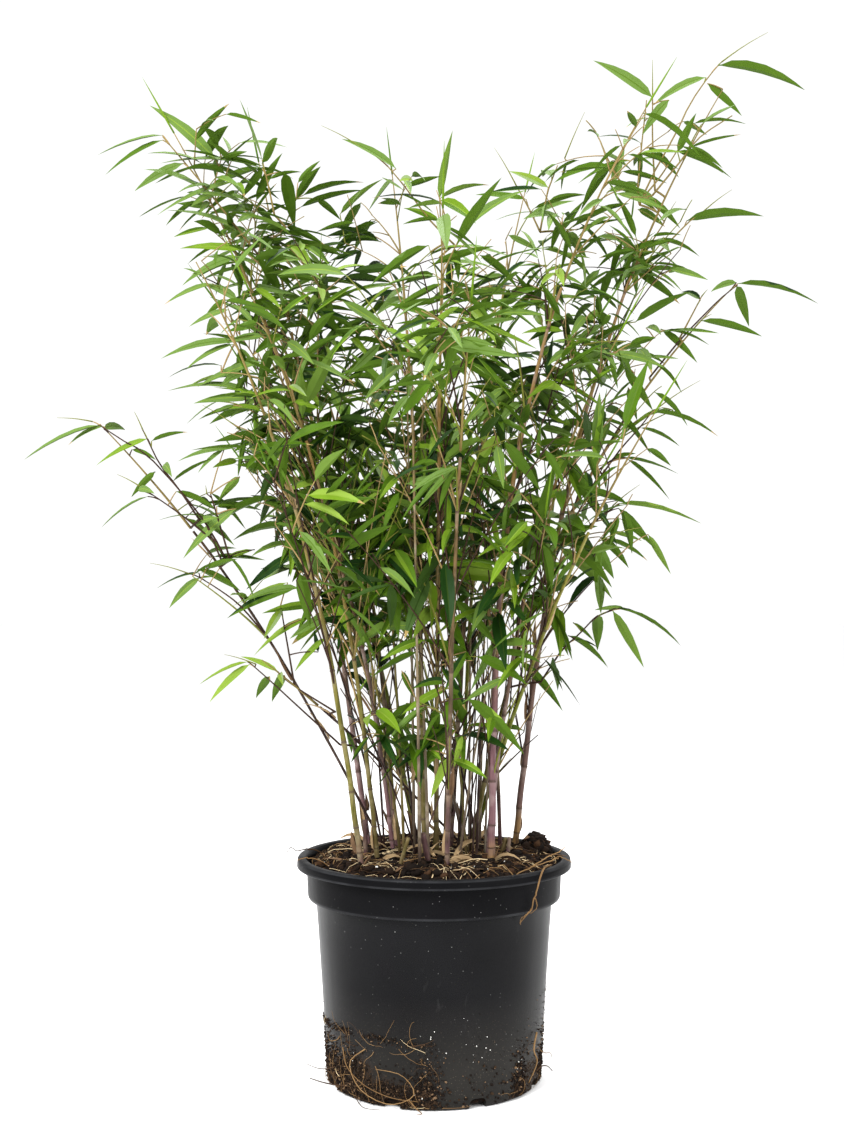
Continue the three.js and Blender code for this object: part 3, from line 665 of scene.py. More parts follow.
turns, heights = dirt_places(DIRT_CRUMBS, rng)
tide = rng.choice(TIDE_CLUMPS, TIDE_CRUMBS, p=TIDE_SHARES) + rng.normal(0, 3.0, TIDE_CRUMBS)
tide_line = TIDE_HEIGHT + 4 * np.cos(np.radians(tide + 40) * 2)
turns[:TIDE_CRUMBS] = tide
heights[:TIDE_CRUMBS] = tide_line + rng.normal(0, 1.7, TIDE_CRUMBS)
sizes = np.minimum(rng.gamma(1.6, 0.3, DIRT_CRUMBS) + 0.22, 1.2)
sizes *= np.clip(1.35 - heights / 60, 0.45, 1.2)
sizes[:TIDE_CRUMBS] *= 1.35
places = on_wall_rows(turns, np.maximum(heights, sizes * 1.3), sizes * 0.15)
dirt_browns = [
    plain("dirt_dark", (0.004, 0.0025, 0.0018), (0.014, 0.008, 0.005), 200.0, 0.95),
    plain("dirt_brown", (0.014, 0.008, 0.0045), (0.044, 0.025, 0.013), 200.0, 0.95),
    plain("dirt_pale", (0.1, 0.06, 0.033), (0.2, 0.125, 0.07), 200.0, 0.9),
]
dirt = grain_piece("pot_dirt", places, sizes, 0.9, dirt_browns, rng, [0.58, 0.34, 0.08])

turns, heights = dirt_places(DIRT_SPECKS, rng)
turns[:LONE_SPECKS] = rng.normal(6, 11, LONE_SPECKS)
heights[:LONE_SPECKS] = rng.normal(48, 9, LONE_SPECKS)
sizes = rng.uniform(0.25, 0.6, DIRT_SPECKS)
specks_piece = grain_piece("pot_specks", on_wall_rows(turns, heights, 0.4), sizes, 1, [white], rng)


def wall_root(turn, height, length, rng):
    """A thread that creeps over the lower wall in loose curves."""
    heading, bend = any_turn(rng), rng.normal(0, 0.035)
    step = ROOT_STOPS - 1
    path = []
    for i in range(ROOT_STOPS):
        path.append(on_wall(turn, height, 0.8 + 1.3 * math.sin(math.pi * i / step)))
        heading += bend + rng.normal(0, 0.12)
        turn += math.degrees(length / step * math.cos(heading) / 90)
        height = min(max(height + length / step * math.sin(heading), 3.0), 70)
    return path


turns, heights = dirt_places(WALL_ROOTS, rng)
turns[:TIDE_ROOTS] = rng.uniform(-92, 0, TIDE_ROOTS)
heights[:TIDE_ROOTS] = rng.normal(49, 2, TIDE_ROOTS)
paths = [wall_root(t, min(h, 51), rng.uniform(6, 30), rng) for t, h in zip(turns, heights)]
# Each drawn root: girth, shade, and its corners by turn, height and distance out.
drawn_roots = [
    (1.0, TAN, [(-36, 44, 1.5), (-46, 30, 3), (-38, 12, 5), (-22, 5, 5), (-10, 14, 4),
                (-16, 28, 2.5), (-30, 30, 2)]),
    (0.9, AMBER, [(-52, 40, 1.5), (-48, 26, 3), (-36, 16, 4), (-22, 10, 3.5), (-8, 8, 2)]),
    (1.6, TAN, [(62, 48, 1.5), (58, 36, 3), (62, 24, 3.5), (56, 10, 2)]),
    (1.0, BROWN, [(-62, 20, 1), (-72, 14, 4), (-80, 11, 9), (-85, 12, 17)]),
    (1.5, BROWN, [(-52, 9, 1), (-60, 7, 4), (-64, 8, 11), (-67, 11, 20)]),
    (0.9, AMBER, [(70, 30, 1), (78, 24, 3), (86, 20, 7), (88, 15, 9)]),
    (0.9, BROWN, [(-44, 7, 1), (-40, 3, 6), (-33, 1.6, 12), (-25, 1.6, 10)]),
    (1.1, AMBER, [(-13, 9, 1), (-9, 4, 5), (-6, 1.5, 9), (-8, 1.5, 12)]),
    (1.3, BROWN, [(66, 15, 1), (70, 17, 3), (73, 16, 7), (74, 12, 11)]),
]
paths += [drawn([on_wall(*corner) for corner in row[2]], ROOT_STOPS) for row in drawn_roots]
girths = np.append(rng.gamma(3, 0.07, WALL_ROOTS) + 0.2, [row[0] for row in drawn_roots])
shades = rng.choice([BROWN, AMBER, TAN, PALE], len(paths), p=[0.34, 0.42, 0.2, 0.04])
shades[WALL_ROOTS:] = [row[1] for row in drawn_roots]
thickness = tapered(girths, 0.5, ROOT_STOPS)
wall_roots = thread_piece("wall_roots", paths, thickness, 5, fibre_colours, shades)

# Canes: slim woody culms, hollow, smooth and jointed. Each joint has a raised scar where its sheath
# fell, a groove above it and a pale waxy bloom below. Young canes are mauve or green, and they turn
# olive and then straw-coloured upwards. They stand in the compost and lean out.
GAP = 0.3
CULM_FOOT = COMPOST_TOP + GAP
CULM_SHARE = 0.76
CULM_TIP = 3.2
LEADER_TIP = 2.8
LEADERS = [
    ((-58, -53), (-177, -130, 643), 5.6, 0.5, "sallow"),
    ((-56, 43), (-151, 50, 772), 6.0, 0.85, "mauve"),
    ((-34, 8), (-141, -62, 562), 4.6, 0.4, "mauve"),
    ((-30, 61), (-213, -20, 775), 6.8, 0.58, "olive"),
    ((-14, 38), (-164, 140, 683), 5.8, 0.68, "green"),
    ((-42, 20), (-272, -20, 536), 3.6, 0.77, "dark"),
    ((8, 61), (-171, 120, 515), 4.0, 0.8, "olive"),
    ((34, 51), (161, -140, 531), 5.4, 0.75, "green"),
    ((46, -31), (174, -20, 796), 7.4, 0.05, "plum"),
    ((70, 42), (243, 20, 822), 6.6, 0.4, "bronze"),
    ((30, 8), (262, 60, 666), 5.2, 0.45, "olive"),
    ((14, 24), (87, 160, 776), 5.6, 0.5, "brown"),
    ((2, -4), (5, -170, 674), 5.0, 0.4, "olive"),
    ((-8, -22), (-36, 60, 764), 5.2, 0.3, "olive"),
    ((24, 38), (-140, -20, 344), 3.2, 0.9, "dark"),
]
FILLERS = ["green", "brown", "olive", "brown", "mauve"]
FILLER_FIRST_ANGLE = 64
FILLER_FOOT_RADIUS = 48
FILLER_REACH = (150, 195)
FILLER_HEIGHT = 690
FILLER_GIRTH = 4.8
FILLER_SEED = 20
SLIM = 0.84
THIN = 0.66
CANE_SIDES = 12
CANE_TOP_GAP = 16
INTERNODES = [9, 20, 34, 47, 57, 64, 68, 70, 70, 70, 70, 70, 70]
JOINT_RINGS = [(-15, 1.0, 0, 0.05), (-5, 1.0, 0, 0.6), (-1.4, 1.02, 0, 1), (-0.6, 1.16, 0.6, 0.5),
               (0.1, 1.18, 1, 0), (0.7, 1.03, 1, 0), (2.3, 1.1, 0.3, 0), (5, 1.01, 0, 0)]
BETWEEN = [0.35, 0.5, 0.65]


def seeded(seed):
    """A repeatable run of numbers from 0 to 1."""
    whole = 0xFFFFFFFF
    state = seed & whole

    def draw():
        nonlocal state
        state = (state + 0x6D2B79F5) & whole
        mixed = ((state ^ (state >> 15)) * (state | 1)) & whole
        mixed ^= (mixed + (((mixed ^ (mixed >> 7)) * (mixed | 61)) & whole)) & whole
        return ((mixed ^ (mixed >> 14)) & whole) / 4294967296

    return draw


def spread(limits, share):
    return limits[0] + (limits[1] - limits[0]) * share


def unit(vector):
    return vector / np.linalg.norm(vector)


def direction(line, t):
    """The heading of a line at a share of its length."""
    return unit(line.at(min(t + 1e-4, 1)) - line.at(max(t - 1e-4, 0)))


class CulmLine:
    """The line of a culm: it climbs evenly and leans out more towards its end."""

    along = direction

    def __init__(self, foot, end, straight):
        self.foot = np.array([*foot, CULM_FOOT], dtype=float)
        self.end = np.array(end, dtype=float)
        self.straight = straight
        steps = [self.at(i / 200) for i in range(201)]
        self.length = sum(np.linalg.norm(b - a) for a, b in zip(steps, steps[1:]))

    def at(self, t):
        lean = self.straight * t + (1 - self.straight) * t**3
        place = self.foot + (self.end - self.foot) * lean
        place[2] = self.foot[2] + (self.end[2] - self.foot[2]) * t
        return place


def girth_at(girth, t):
    """A cane's girth at a share of its culm, thinning evenly."""
    return girth + (CULM_TIP - girth) * min(t / CULM_SHARE, 1)


def culm_rows():
    """Every culm: the leaders first, then the fillers, spread by angle."""
    draw = seeded(FILLER_SEED)
    rows = list(LEADERS)
    for i, colour in enumerate(FILLERS):
        angle = math.radians(FILLER_FIRST_ANGLE + i * 360 / len(FILLERS))
        foot = FILLER_FOOT_RADIUS * spread((0.8, 1.2), draw())
        reach = spread((0.9, 1.1), draw())
        rise = FILLER_HEIGHT * spread((0.85, 1), draw())
        out, side = math.cos(angle), math.sin(angle)
        end = (out * FILLER_REACH[0] * reach, side * FILLER_REACH[1] * reach, rise)
        rows.append(((out * foot, side * foot), end, FILLER_GIRTH, 0.45, colour))
    return rows


def cane_rings(joints):
    """The rings of a cane with its joints: which internode, offset or share, girth, scar, bloom."""
    rings = [(0, 0.0, None, 1.06, 0, 0)]
    for k in range(joints):
        rings += [(k, None, share, 1.0, 0, 0) for share in BETWEEN]
        rings += [(k + 1, offset, None, *look) for offset, *look in JOINT_RINGS]
    rings += [(joints, None, 0.5, 1.0, 0, 0), (joints, None, 0.9, 0.97, 0, 0)]
    return rings


def straight_cane(joints):
    """A straight cane that others are copied from."""
    rings = cane_rings(joints)
    profile = [(ring[3] * 500, i * 1000.0) for i, ring in enumerate(rings)]
    return turned("straight_cane", profile, CANE_SIDES), rings


def cane_finish(name, foot, middle, top, bloom, rise=(0.25, 0.36)):
    """Cane skin: colour by height, lengthwise streaks, dark scars and pale bloom."""
    finish = Finish("cane_" + name, middle, 0.5)
    level = finish.combine("ADD", finish.axis("Z"), finish.times(finish.speckle(9.0), 0.12))
    lower = finish.mixed(finish.step(level, *rise), foot, middle)
    body = finish.mixed(finish.step(level, 0.36, 0.54), lower, top)
    streaks = finish.speckle(420.0, 2.0, finish.stretched((1.0, 1.0, 0.05)))
    dark = finish.step(streaks, 0.48, 0.66, 0.0, 0.7)
    streaked = finish.mixed(dark, body, tuple(0.45 * part for part in middle))
    blotches = finish.step(finish.speckle(70.0, 4.0), 0.52, 0.66, 0.0, 0.55)
    blotched = finish.mixed(blotches, streaked, bloom)
    waxed = finish.add("Attribute", attribute_name="bloom").outputs["Fac"]
    scarred = finish.add("Attribute", attribute_name="scar").outputs["Fac"]
    bloomed = finish.mixed(finish.times(waxed, 0.4), blotched, bloom)
    finish.colour(finish.mixed(finish.times(scarred, 0.85), bloomed, (0.055, 0.035, 0.025)))
    finish.roughness(finish.step(streaks, 0.3, 0.7, 0.38, 0.6))
    finish.bump(streaks, 0.0003, 0.5)
    return finish.material


MAUVE, PLUM, OLIVE = (0.15, 0.076, 0.084), (0.085, 0.044, 0.046), (0.105, 0.095, 0.016)
GREEN, STRAW, GOLD = (0.1, 0.118, 0.01), (0.27, 0.16, 0.06), (0.215, 0.128, 0.04)
# Each cane colour: at the foot, in the middle, at the top, and of its bloom.
CANE_COLOURS = {
    "mauve": (MAUVE, (0.12, 0.078, 0.062), GOLD, (0.32, 0.24, 0.22)),
    "sallow": (MAUVE, OLIVE, (0.16, 0.118, 0.034), (0.24, 0.2, 0.12), (0.235, 0.3)),
    "plum": (STRAW, MAUVE, GOLD, (0.28, 0.2, 0.19), (0.245, 0.262)),
    "olive": ((0.09, 0.062, 0.024), OLIVE, GOLD, (0.22, 0.18, 0.09)),
    "green": ((0.085, 0.09, 0.01), GREEN, (0.21, 0.165, 0.035), (0.21, 0.21, 0.07)),
    "bronze": (STRAW, (0.105, 0.062, 0.052), GOLD, (0.25, 0.19, 0.16), (0.245, 0.28)),
    "pale": ((0.09, 0.062, 0.046), (0.155, 0.118, 0.07), (0.15, 0.11, 0.045),
             (0.26, 0.22, 0.16)),
    "brown": (PLUM, (0.062, 0.042, 0.022), (0.15, 0.092, 0.034), (0.24, 0.18, 0.12)),
    "dark": ((0.022, 0.01, 0.008), (0.022, 0.012, 0.008), (0.06, 0.032, 0.016),
             (0.08, 0.052, 0.04)),
}
cane_finishes = {name: cane_finish(name, *colours) for name, colours in CANE_COLOURS.items()}


def swept(mesh, centres, headings, radii):
    """Lays a straight cane's rings along a line, and gives each point's ring."""
    points = np.empty(len(mesh.vertices) * 3)
    mesh.vertices.foreach_get("co", points)
    points = points.reshape(-1, 3)
    ring = np.rint(points[:, 2]).astype(int)
    level = units(np.array([1.0, 0, 0]) - headings * headings[:, :1])
    square = np.cross(headings, level)
    turn = np.arctan2(points[:, 1], points[:, 0])
    moved = centres[ring] + radii[ring, None] * (
        np.cos(turn)[:, None] * level[ring] + np.sin(turn)[:, None] * square[ring]
    )
    mesh.vertices.foreach_set("co", (moved * MM).reshape(-1))
    return ring


rng = np.random.default_rng(23)
masters = {}
culms = []
for i, (foot, end, girth, straight, colour) in enumerate(culm_rows(), start=1):
    line = CulmLine(foot, end, straight)
    reach = line.length * CULM_SHARE
    lengths = np.array(INTERNODES) * rng.uniform(0.85, 1.15, len(INTERNODES))
    stops = np.concatenate([[0], np.cumsum(lengths)])
    joints = int(np.searchsorted(stops, reach - CANE_TOP_GAP)) - 1
    stops = np.append(stops[: joints + 1], reach)
    if joints not in masters:
        masters[joints] = straight_cane(joints)
    master, rings = masters[joints]
    mesh = master.data.copy()
    mesh.name = f"cane_{i:02d}"
    cane = placed(mesh.name, mesh)
    lean = any_turn(rng)
    zigzag = np.array([math.cos(lean), math.sin(lean), 0]) * girth * 0.06
    centres, headings, radii = [], [], []
    for k, offset, share, width, _, _ in rings:
        if offset is None:
            height = stops[k] + (stops[k + 1] - stops[k]) * share
        else:
            inner = (stops[k] - stops[k - 1] if k else 30) / 34
            height = stops[k] + offset * min(1, inner)
        t = min(height / line.length, 1)
        side = math.sin(math.pi * np.interp(height, stops, np.arange(len(stops))) + 0.5)
        centre = line.at(t) + zigzag * side * min(1, height / 30)
        risen = (centre[2] - line.foot[2]) / (line.end[2] - line.foot[2])
        centres.append(centre)
        headings.append(line.along(min(risen, 1)))
        slimming = THIN if colour == "dark" else SLIM - 0.12 * t
        radii.append(girth_at(girth, t) / 2 * width * slimming)
    headings[0] = (0, 0, 1)
    ring = swept(mesh, np.array(centres), np.array(headings), np.array(radii))
    for name, column in (("scar", 4), ("bloom", 5)):
        shown = np.array([row[column] for row in rings], dtype=float)
        mesh.attributes.new(name, "FLOAT", "POINT").data.foreach_set("value", shown[ring])
    mesh.materials.append(cane_finishes[colour])
    mesh.update()
    smooth(cane, 60)
    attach(cane, "root")
    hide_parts(f"culm_{i:02d}")
    culms.append({"line": line, "girth": girth, "joints": stops, "colour": colour})
for master, _ in masters.values():
    bpy.data.objects.remove(master)

# Dead wood: short cut stubs, thin dead canes and bare side shoots stand among the live canes, and
# papery tan sheaths still wrap some of the joints and the feet of the clump.
THIN_CANES = 19
FRONT_CANES = 10
STUBS = 7
LITTER_COUNT = 30
CANE_STOPS = 24
BARE_SHOOTS_TO = 720


def leaning(heading, side, angle):
    """A heading turned by an angle towards its side."""
    return heading * math.cos(angle) + side * math.sin(angle)


def rotated(vector, axis, angle):
    """A vector turned about an axis."""
    axis = axis / np.linalg.norm(axis)
    swung = leaning(vector, np.cross(axis, vector), angle)
    return swung + axis * np.dot(axis, vector) * (1 - math.cos(angle))


def across(heading, roll):
    """Two directions across a heading: one near level, one square to both."""
    side = np.cross(heading, (0, 0, 1.0))
    if np.dot(side, side) < 1e-6:
        side = np.array([1.0, 0, 0])
    side = rotated(side / np.linalg.norm(side), heading, roll)
    return side, np.cross(side, heading)


BLADE_STOPS = np.array([0, 0.04, 0.14, 0.3, 0.5, 0.7, 0.87])
LEAF_OUTLINE = np.array([0.09, 0.16, 0.76, 1.0, 0.95, 0.67, 0.3])
SHEATH_OUTLINE = np.array([0.75, 0.85, 0.95, 1.0, 0.92, 0.66, 0.35])
RIBBED = (-1, -0.1, 0.1, 1)
CREASED = (-1, 0, 1)


def blades(rows, outline, thickness, shares):
    """Thin closed blades that arch over and end in a point, creased or ribbed along the middle.

    A row is a root, heading, roll, length, width, droop, twist and fold. The shares are the places
    across the upper side. Also gives each face's own blade, and its column across.
    """
    roots, headings, rolls, lengths, widths, droops, twists, folds = [
        np.array([row[i] for row in rows], dtype=float) for i in range(8)
    ]
    sides = np.array([across(h, r)[0] for h, r in zip(headings, rolls)])
    down = np.array([0, 0, -1.0])
    centre, heading, last = roots.copy(), headings.copy(), 0.0
    rings = []
    for stop, width in zip(BLADE_STOPS, outline):
        gap = stop - last
        heading = units(heading + down * (droops * gap)[:, None])
        centre = centre + heading * (lengths * gap)[:, None]
        last = stop
        side = units(sides - heading * np.sum(sides * heading, axis=1, keepdims=True))
        face = np.cross(side, heading)
        cosine, sine = np.cos(twists * stop)[:, None], np.sin(twists * stop)[:, None]
        side, face = side * cosine + face * sine, face * cosine - side * sine
        half = (widths * width / 2)[:, None]
        lift, reach = face * half * np.sin(folds)[:, None], side * half * np.cos(folds)[:, None]
        skin = face * thickness / 2
        upper = [centre + reach * s + lift * abs(s) + skin * (abs(s) < 1) for s in shares]
        rings.append(np.stack([*upper, centre - skin], axis=1))
    heading = units(heading + down * (droops * (1 - last))[:, None])
    tips = centre + heading * (lengths * (1 - last))[:, None]
    stations, columns = len(BLADE_STOPS), len(shares) + 1
    size = stations * columns + 1
    rings = np.stack(rings, axis=1).reshape(len(rows), -1, 3)
    points = np.concatenate([rings, tips[:, None]], axis=1)
    pairs = [(j, (j + 1) % columns) for j in range(columns)]
    lasts = columns * (stations - 1)
    quads = [[i + j, i + k, i + columns + k, i + columns + j]
             for i in range(0, lasts, columns) for j, k in pairs]
    ends = [[lasts + j, lasts + k, size - 1] for j, k in pairs]
    feet = [list(range(columns))[::-1]]
    starts = (np.arange(len(rows)) * size)[:, None, None]
    faces, owner, column = [], [], []
    for group, numbers in ((quads, list(range(columns)) * (stations - 1)), (ends, range(columns)),
                           (feet, [columns - 1])):
        faces += (np.array(group)[None] + starts).reshape(-1, len(group[0])).tolist()
        owner.append(np.repeat(np.arange(len(rows)), len(group)))
        column.append(np.tile(list(numbers), len(rows)))
    return points.reshape(-1, 3), faces, np.concatenate(owner), np.concatenate(column)


def bearing(angle, rise=0):
    """A level direction, or one that climbs."""
    return np.array([math.cos(angle), math.sin(angle), rise])


def joints_from(first):
    """The canes' joints from a number up: culm, line, share of it, and place."""
    for culm in culms:
        for stop in culm["joints"][first:-1]:
            t = stop / culm["line"].length
            yield culm, culm["line"], t, culm["line"].at(t)


def foot_at(x, y):
    """A place a little way down in the compost."""
    return np.array([x, y, compost_height(x, y) - 3])


def thin_cane(x, y, lean, rise, girth, spacing, swelling):
    """A thin cane in the compost: its path, and its girths with small joints."""
    stops = np.linspace(0, 1, CANE_STOPS)[:, None]
    path = foot_at(x, y) + lean * (0.6 * stops + 0.4 * stops**2) + np.array([0, 0, rise]) * stops
    joints = np.where(np.arange(CANE_STOPS) % spacing == 3, swelling, 1.0)
    return path, girth * np.linspace(1, 0.5, CANE_STOPS) * joints


rng = np.random.default_rng(31)
front = np.random.default_rng(37)
thin_rows = []
for i in range(THIN_CANES):
    angle, radius = any_turn(rng), rng.uniform(6, 66)
    x, y = radius * math.cos(angle), radius * math.sin(angle) * 0.8
    rise = rng.uniform(150, 400)
    lean = np.array([x * rng.uniform(0.0, 1.5), y * rng.uniform(0.2, 1.1), 0])
    lean = lean + rng.normal(0, 42, 3) * [1, 1, 0]
    thin_rows.append(thin_cane(x, y, lean, rise, rng.uniform(1.2, 2.9), 5, 1.22))
for i in range(FRONT_CANES):
    x, y = front.uniform(-16, 44), front.uniform(-24, 30)
    lean, rise = front.normal(0, 34, 3) * [1, 0.6, 0], front.uniform(90, 230)
    thin_rows.append(thin_cane(x, y, lean, rise, front.uniform(1.4, 3.0), 6, 1.25))
paths, girths = zip(*thin_rows)
thin_finishes = [cane_finishes[name] for name in ("brown", "dark", "olive", "pale")]
shades = np.append(rng.choice(4, THIN_CANES), front.choice(4, FRONT_CANES))
thin = thread_piece("thin_canes", paths, girths, 8, thin_finishes, shades)

paths, girths = [], []
for i in range(STUBS):
    angle = any_turn(rng)
    x, y = level_place(rng.uniform(10, 66), angle)
    tilt = np.array([rng.normal(0, 0.2), rng.normal(0, 0.2), 1]) * rng.uniform(12, 34)
    paths.append(foot_at(x, y) + tilt * np.linspace(0, 1, 8)[:, None])
    girths.append(rng.uniform(2.6, 4.8) * np.array([1.05, 1, 1, 1.12, 1, 0.98, 1, 1.0]))
stub_finishes = [cane_finishes["olive"], cane_finishes["brown"]]
stubs = thread_piece("cane_stubs", paths, girths, 10, stub_finishes, rng.choice(2, STUBS))

paths, girths = [], []
for culm, line, t, place in joints_from(3):
    low_left = line.foot[0] < -50 and place[2] < 430
    if culm["colour"] == "dark" or place[2] > BARE_SHOOTS_TO or low_left:
        continue
    for _ in range(rng.integers(1, 4)):
        along = line.along(t)
        side, _ = across(along, any_turn(rng))
        heading = leaning(along, side, math.radians(rng.uniform(6, 28)))
        reach = rng.uniform(45, np.interp(place[2], (300, 600), (190, 85)))
        end = place + heading * reach
        if math.hypot(end[0], end[1]) > np.interp(end[2], (240, 450, 700), (70, 120, 165)):
            reach *= 0.4
        stops = np.linspace(0, 1, 8)[:, None]
        paths.append(place + heading * reach * stops + side * reach * 0.1 * stops**2)
        girths.append(rng.uniform(0.9, 2.0) * np.linspace(1, 0.45, 8))
twig_finishes = [
    plain("twig_straw", (0.135, 0.088, 0.031), (0.31, 0.22, 0.09), 60.0, 0.6),
    plain("twig_brown", (0.012, 0.006, 0.004), (0.05, 0.024, 0.013), 60.0, 0.6),
    plain("twig_green", (0.095, 0.105, 0.012), (0.165, 0.175, 0.028), 60.0, 0.55),
    plain("twig_gold", (0.105, 0.076, 0.02), (0.215, 0.16, 0.05), 40.0, 0.55),
]
STRAW_TWIG, BROWN_TWIG, GREEN_TWIG, GOLD_TWIG = range(4)
shades = rng.choice(3, len(paths), p=[0.34, 0.5, 0.16])
shoots = thread_piece("bare_shoots", paths, girths, 5, twig_finishes, shades)

sheath_rows = []
for culm, line, t, place in joints_from(1):
    if rng.uniform() > 0.42:
        continue
    turn = any_turn(rng)
    side, _ = across(line.along(t), turn)
    girth = girth_at(culm["girth"], t)
    heading = unit(line.along(t) + side * rng.uniform(0.02, 0.3))
    sheath_rows.append((
        place + side * girth * 0.42, heading, turn + math.pi / 2, rng.uniform(14, 34),
        girth * rng.uniform(0.9, 1.5), rng.uniform(-0.4, 0.9), rng.normal(0, 0.8), 0.75,
    ))
for culm in culms:
    for _ in range(rng.integers(0, 2)):
        turn = any_turn(rng)
        out = bearing(turn)
        heading = unit(out * rng.uniform(0.15, 0.9) + [0, 0, 1])
        sheath_rows.append((
            culm["line"].foot + out * culm["girth"] * 0.5 - [0, 0, 2], heading, turn,
            rng.uniform(10, 26), rng.uniform(1.8, 3.6), rng.uniform(0.2, 1.8),
            rng.normal(0, 1.0), 0.6,
        ))
# Old sheaths that hang off the feet: place, turn, rise, length, width, droop and twist.
FOOT_SHEATHS = [
    (-13, -14, 264, 235, -0.9, 24, 8.0, 1.2, 1.8), (-8, -24, 183, 20, 1.3, 34, 6.0, 2.6, 1.6),
    (0, -24, 183, 140, 1.6, 38, 5.0, 2.0, 1.4), (17, -26, 183, 50, 1.8, 36, 5.5, 1.6, -1.8),
    (31, -40, 183, 190, 0.8, 34, 7.0, 2.0, 2.0), (12, -38, 183, 340, 0.9, 32, 5.5, 2.0, -1.6),
    (-26, -34, 183, 200, 1.1, 28, 5.5, 2.0, 1.6), (49, -36, 183, 330, 1.3, 26, 5.0, 1.6, 1.4),
    (8, 64, 183, 240, 1.3, 32, 6.0, 1.6, 1.4), (-58, 44, 183, 150, 1.3, 30, 5.5, 1.6, 1.4),
    (38, 52, 183, 60, 1.3, 32, 6.0, 1.6, -1.4),
]
for x, y, z, turn, rise, length, width, droop, twist in FOOT_SHEATHS:
    heading = unit(bearing(math.radians(turn), rise))
    sheath_rows.append(((x, y, z), heading, 0, length, width, droop, twist, 0.7))
sheath_finishes = [
    plain("sheath_tan", (0.2, 0.13, 0.065), (0.42, 0.3, 0.165), 120.0, 0.75),
    plain("sheath_brown", (0.065, 0.036, 0.02), (0.17, 0.1, 0.052), 120.0, 0.8),
]


def husk_piece(name, rows, thickness, shades):
    """A piece of dry creased blades."""
    points, faces, owner, _ = blades(rows, SHEATH_OUTLINE, thickness, CREASED)
    piece = joined(name, points, faces, sheath_finishes, shades[owner])
    smooth(piece, 60)
    return piece


shades = rng.choice(2, len(sheath_rows), p=[0.5, 0.5])
shades[-len(FOOT_SHEATHS):] = 0
sheaths = husk_piece("cane_sheaths", sheath_rows, 0.3, shades)

litter_rows = []
for _ in range(LITTER_COUNT):
    angle = any_turn(rng)
    x, y = level_place(92 * math.sqrt(rng.uniform(0.05, 1)), angle)
    heading = unit(bearing(any_turn(rng), rng.uniform(0.0, 0.22)))
    litter_rows.append((
        (x, y, bed_height(x, y) + 1.6), heading, rng.normal(0, 0.6), rng.uniform(12, 40),
        rng.uniform(1.6, 4.2), rng.uniform(0.1, 0.5), rng.normal(0, 0.9), rng.uniform(0.1, 0.6),
    ))
litter = husk_piece("dry_leaves", litter_rows, 0.4, rng.choice(2, LITTER_COUNT, p=[0.6, 0.4]))

# Foliage: boughs leave the canes at their joints, twigs leave the boughs in turn, and each twig
# ends in lance-shaped leaves that arch and hang a little. The growth is the same seeded rule that
# placed the solids, with a gap kept between the masses.
LEAF_LENGTH = (70, 94)
LEAF_WIDTH_SHARE = 0.155
LEAF_WIDEST = 0.38
LEAF_SPREAD = 36
LEAF_DROOP = (0.225, 0.675)
LEAF_ROLL = 140
LEAF_TURN_SPREAD = 30
TWIG_ANGLE = 44
TWIG_ANGLE_SPREAD = 16
TWIG_TURN = 137.5
TWIG_TURN_SPREAD = 180
TWIG_SAG = 0.1
LOWEST_LEAF = 270
HIGHEST_LEAF = 864
CROWN_RADIUS = 170
CROWN_FLARE = 0.2
TRIES = 24
BOW = 0.18
BOUGH_GIRTH = 3.8
LONG = 172
SHORT = 72
STEEP = 24
WIDE = 56
# Each branch: its culm, place along it, turn from the culm's lean, length and opening.
BRANCHES = [
    (1, 0.3, 30, LONG, STEEP), (2, 0.26, -50, LONG, STEEP), (2, 0.5, 110, LONG, STEEP),
    (3, 0.36, -40, LONG, STEEP), (4, 0.28, 40, LONG, STEEP), (4, 0.5, -30, LONG, STEEP),
    (5, 0.4, -100, LONG, STEEP), (6, 0.5, 10, SHORT, WIDE), (8, 0.34, -40, LONG, STEEP),
    (9, 0.25, 120, LONG, STEEP), (9, 0.45, 10, LONG, STEEP), (10, 0.26, -20, SHORT, WIDE),
    (10, 0.46, 60, LONG, STEEP), (11, 0.32, -60, LONG, STEEP), (12, 0.3, 60, LONG, STEEP),
    (13, 0.28, -120, LONG, STEEP), (14, 0.32, 150, LONG, STEEP), (17, 0.34, 30, LONG, STEEP),
]
UP = np.array([0, 0, 1.0])

MOST_STRANDS = 4096
owners = np.zeros(MOST_STRANDS, dtype=int)
taken = np.zeros((MOST_STRANDS, 9))
filled = 0


def place_strand(owner, start, end, radii):
    """Notes a limb, twig or leaf, with its radius at its start, widest place and end."""
    global filled
    owners[filled] = owner
    taken[filled] = [*start, *end, *radii]
    filled += 1


def radius_along(radii, share):
    """The radius of a strand at a share of its length."""
    start, widest, end = radii
    rising = start + (widest - start) * share / LEAF_WIDEST
    falling = widest + (end - widest) * (share - LEAF_WIDEST) / (1 - LEAF_WIDEST)
    return np.where(share < LEAF_WIDEST, rising, falling)


def is_free(owner, start, end, radii):
    """True where a strand keeps its gap to those of every other owner."""
    rows = taken[:filled][owners[:filled] != owner]
    starts, ends = rows[:, :3], rows[:, 3:6]
    own, others, apart = end - start, ends - starts, start - starts
    aa, bb = own @ own, np.sum(others * others, axis=1)
    ab, ad, bd = others @ own, apart @ own, np.sum(apart * others, axis=1)
    spread_out = aa * bb - ab * ab
    crossing = np.clip((ab * bd - ad * bb) / np.maximum(spread_out, 1e-9), 0, 1)
    s = np.where(spread_out > 1e-9, crossing, 0)
    t = np.clip((ab * s + bd) / bb, 0, 1)
    s = np.clip((ab * t - ad) / aa, 0, 1)
    gap = np.linalg.norm(apart + own * s[:, None] - others * t[:, None], axis=1)
    room = gap - radius_along(radii, s) - radius_along(rows[:, 6:9].T, t)
    return bool(np.all(room > GAP * 2))


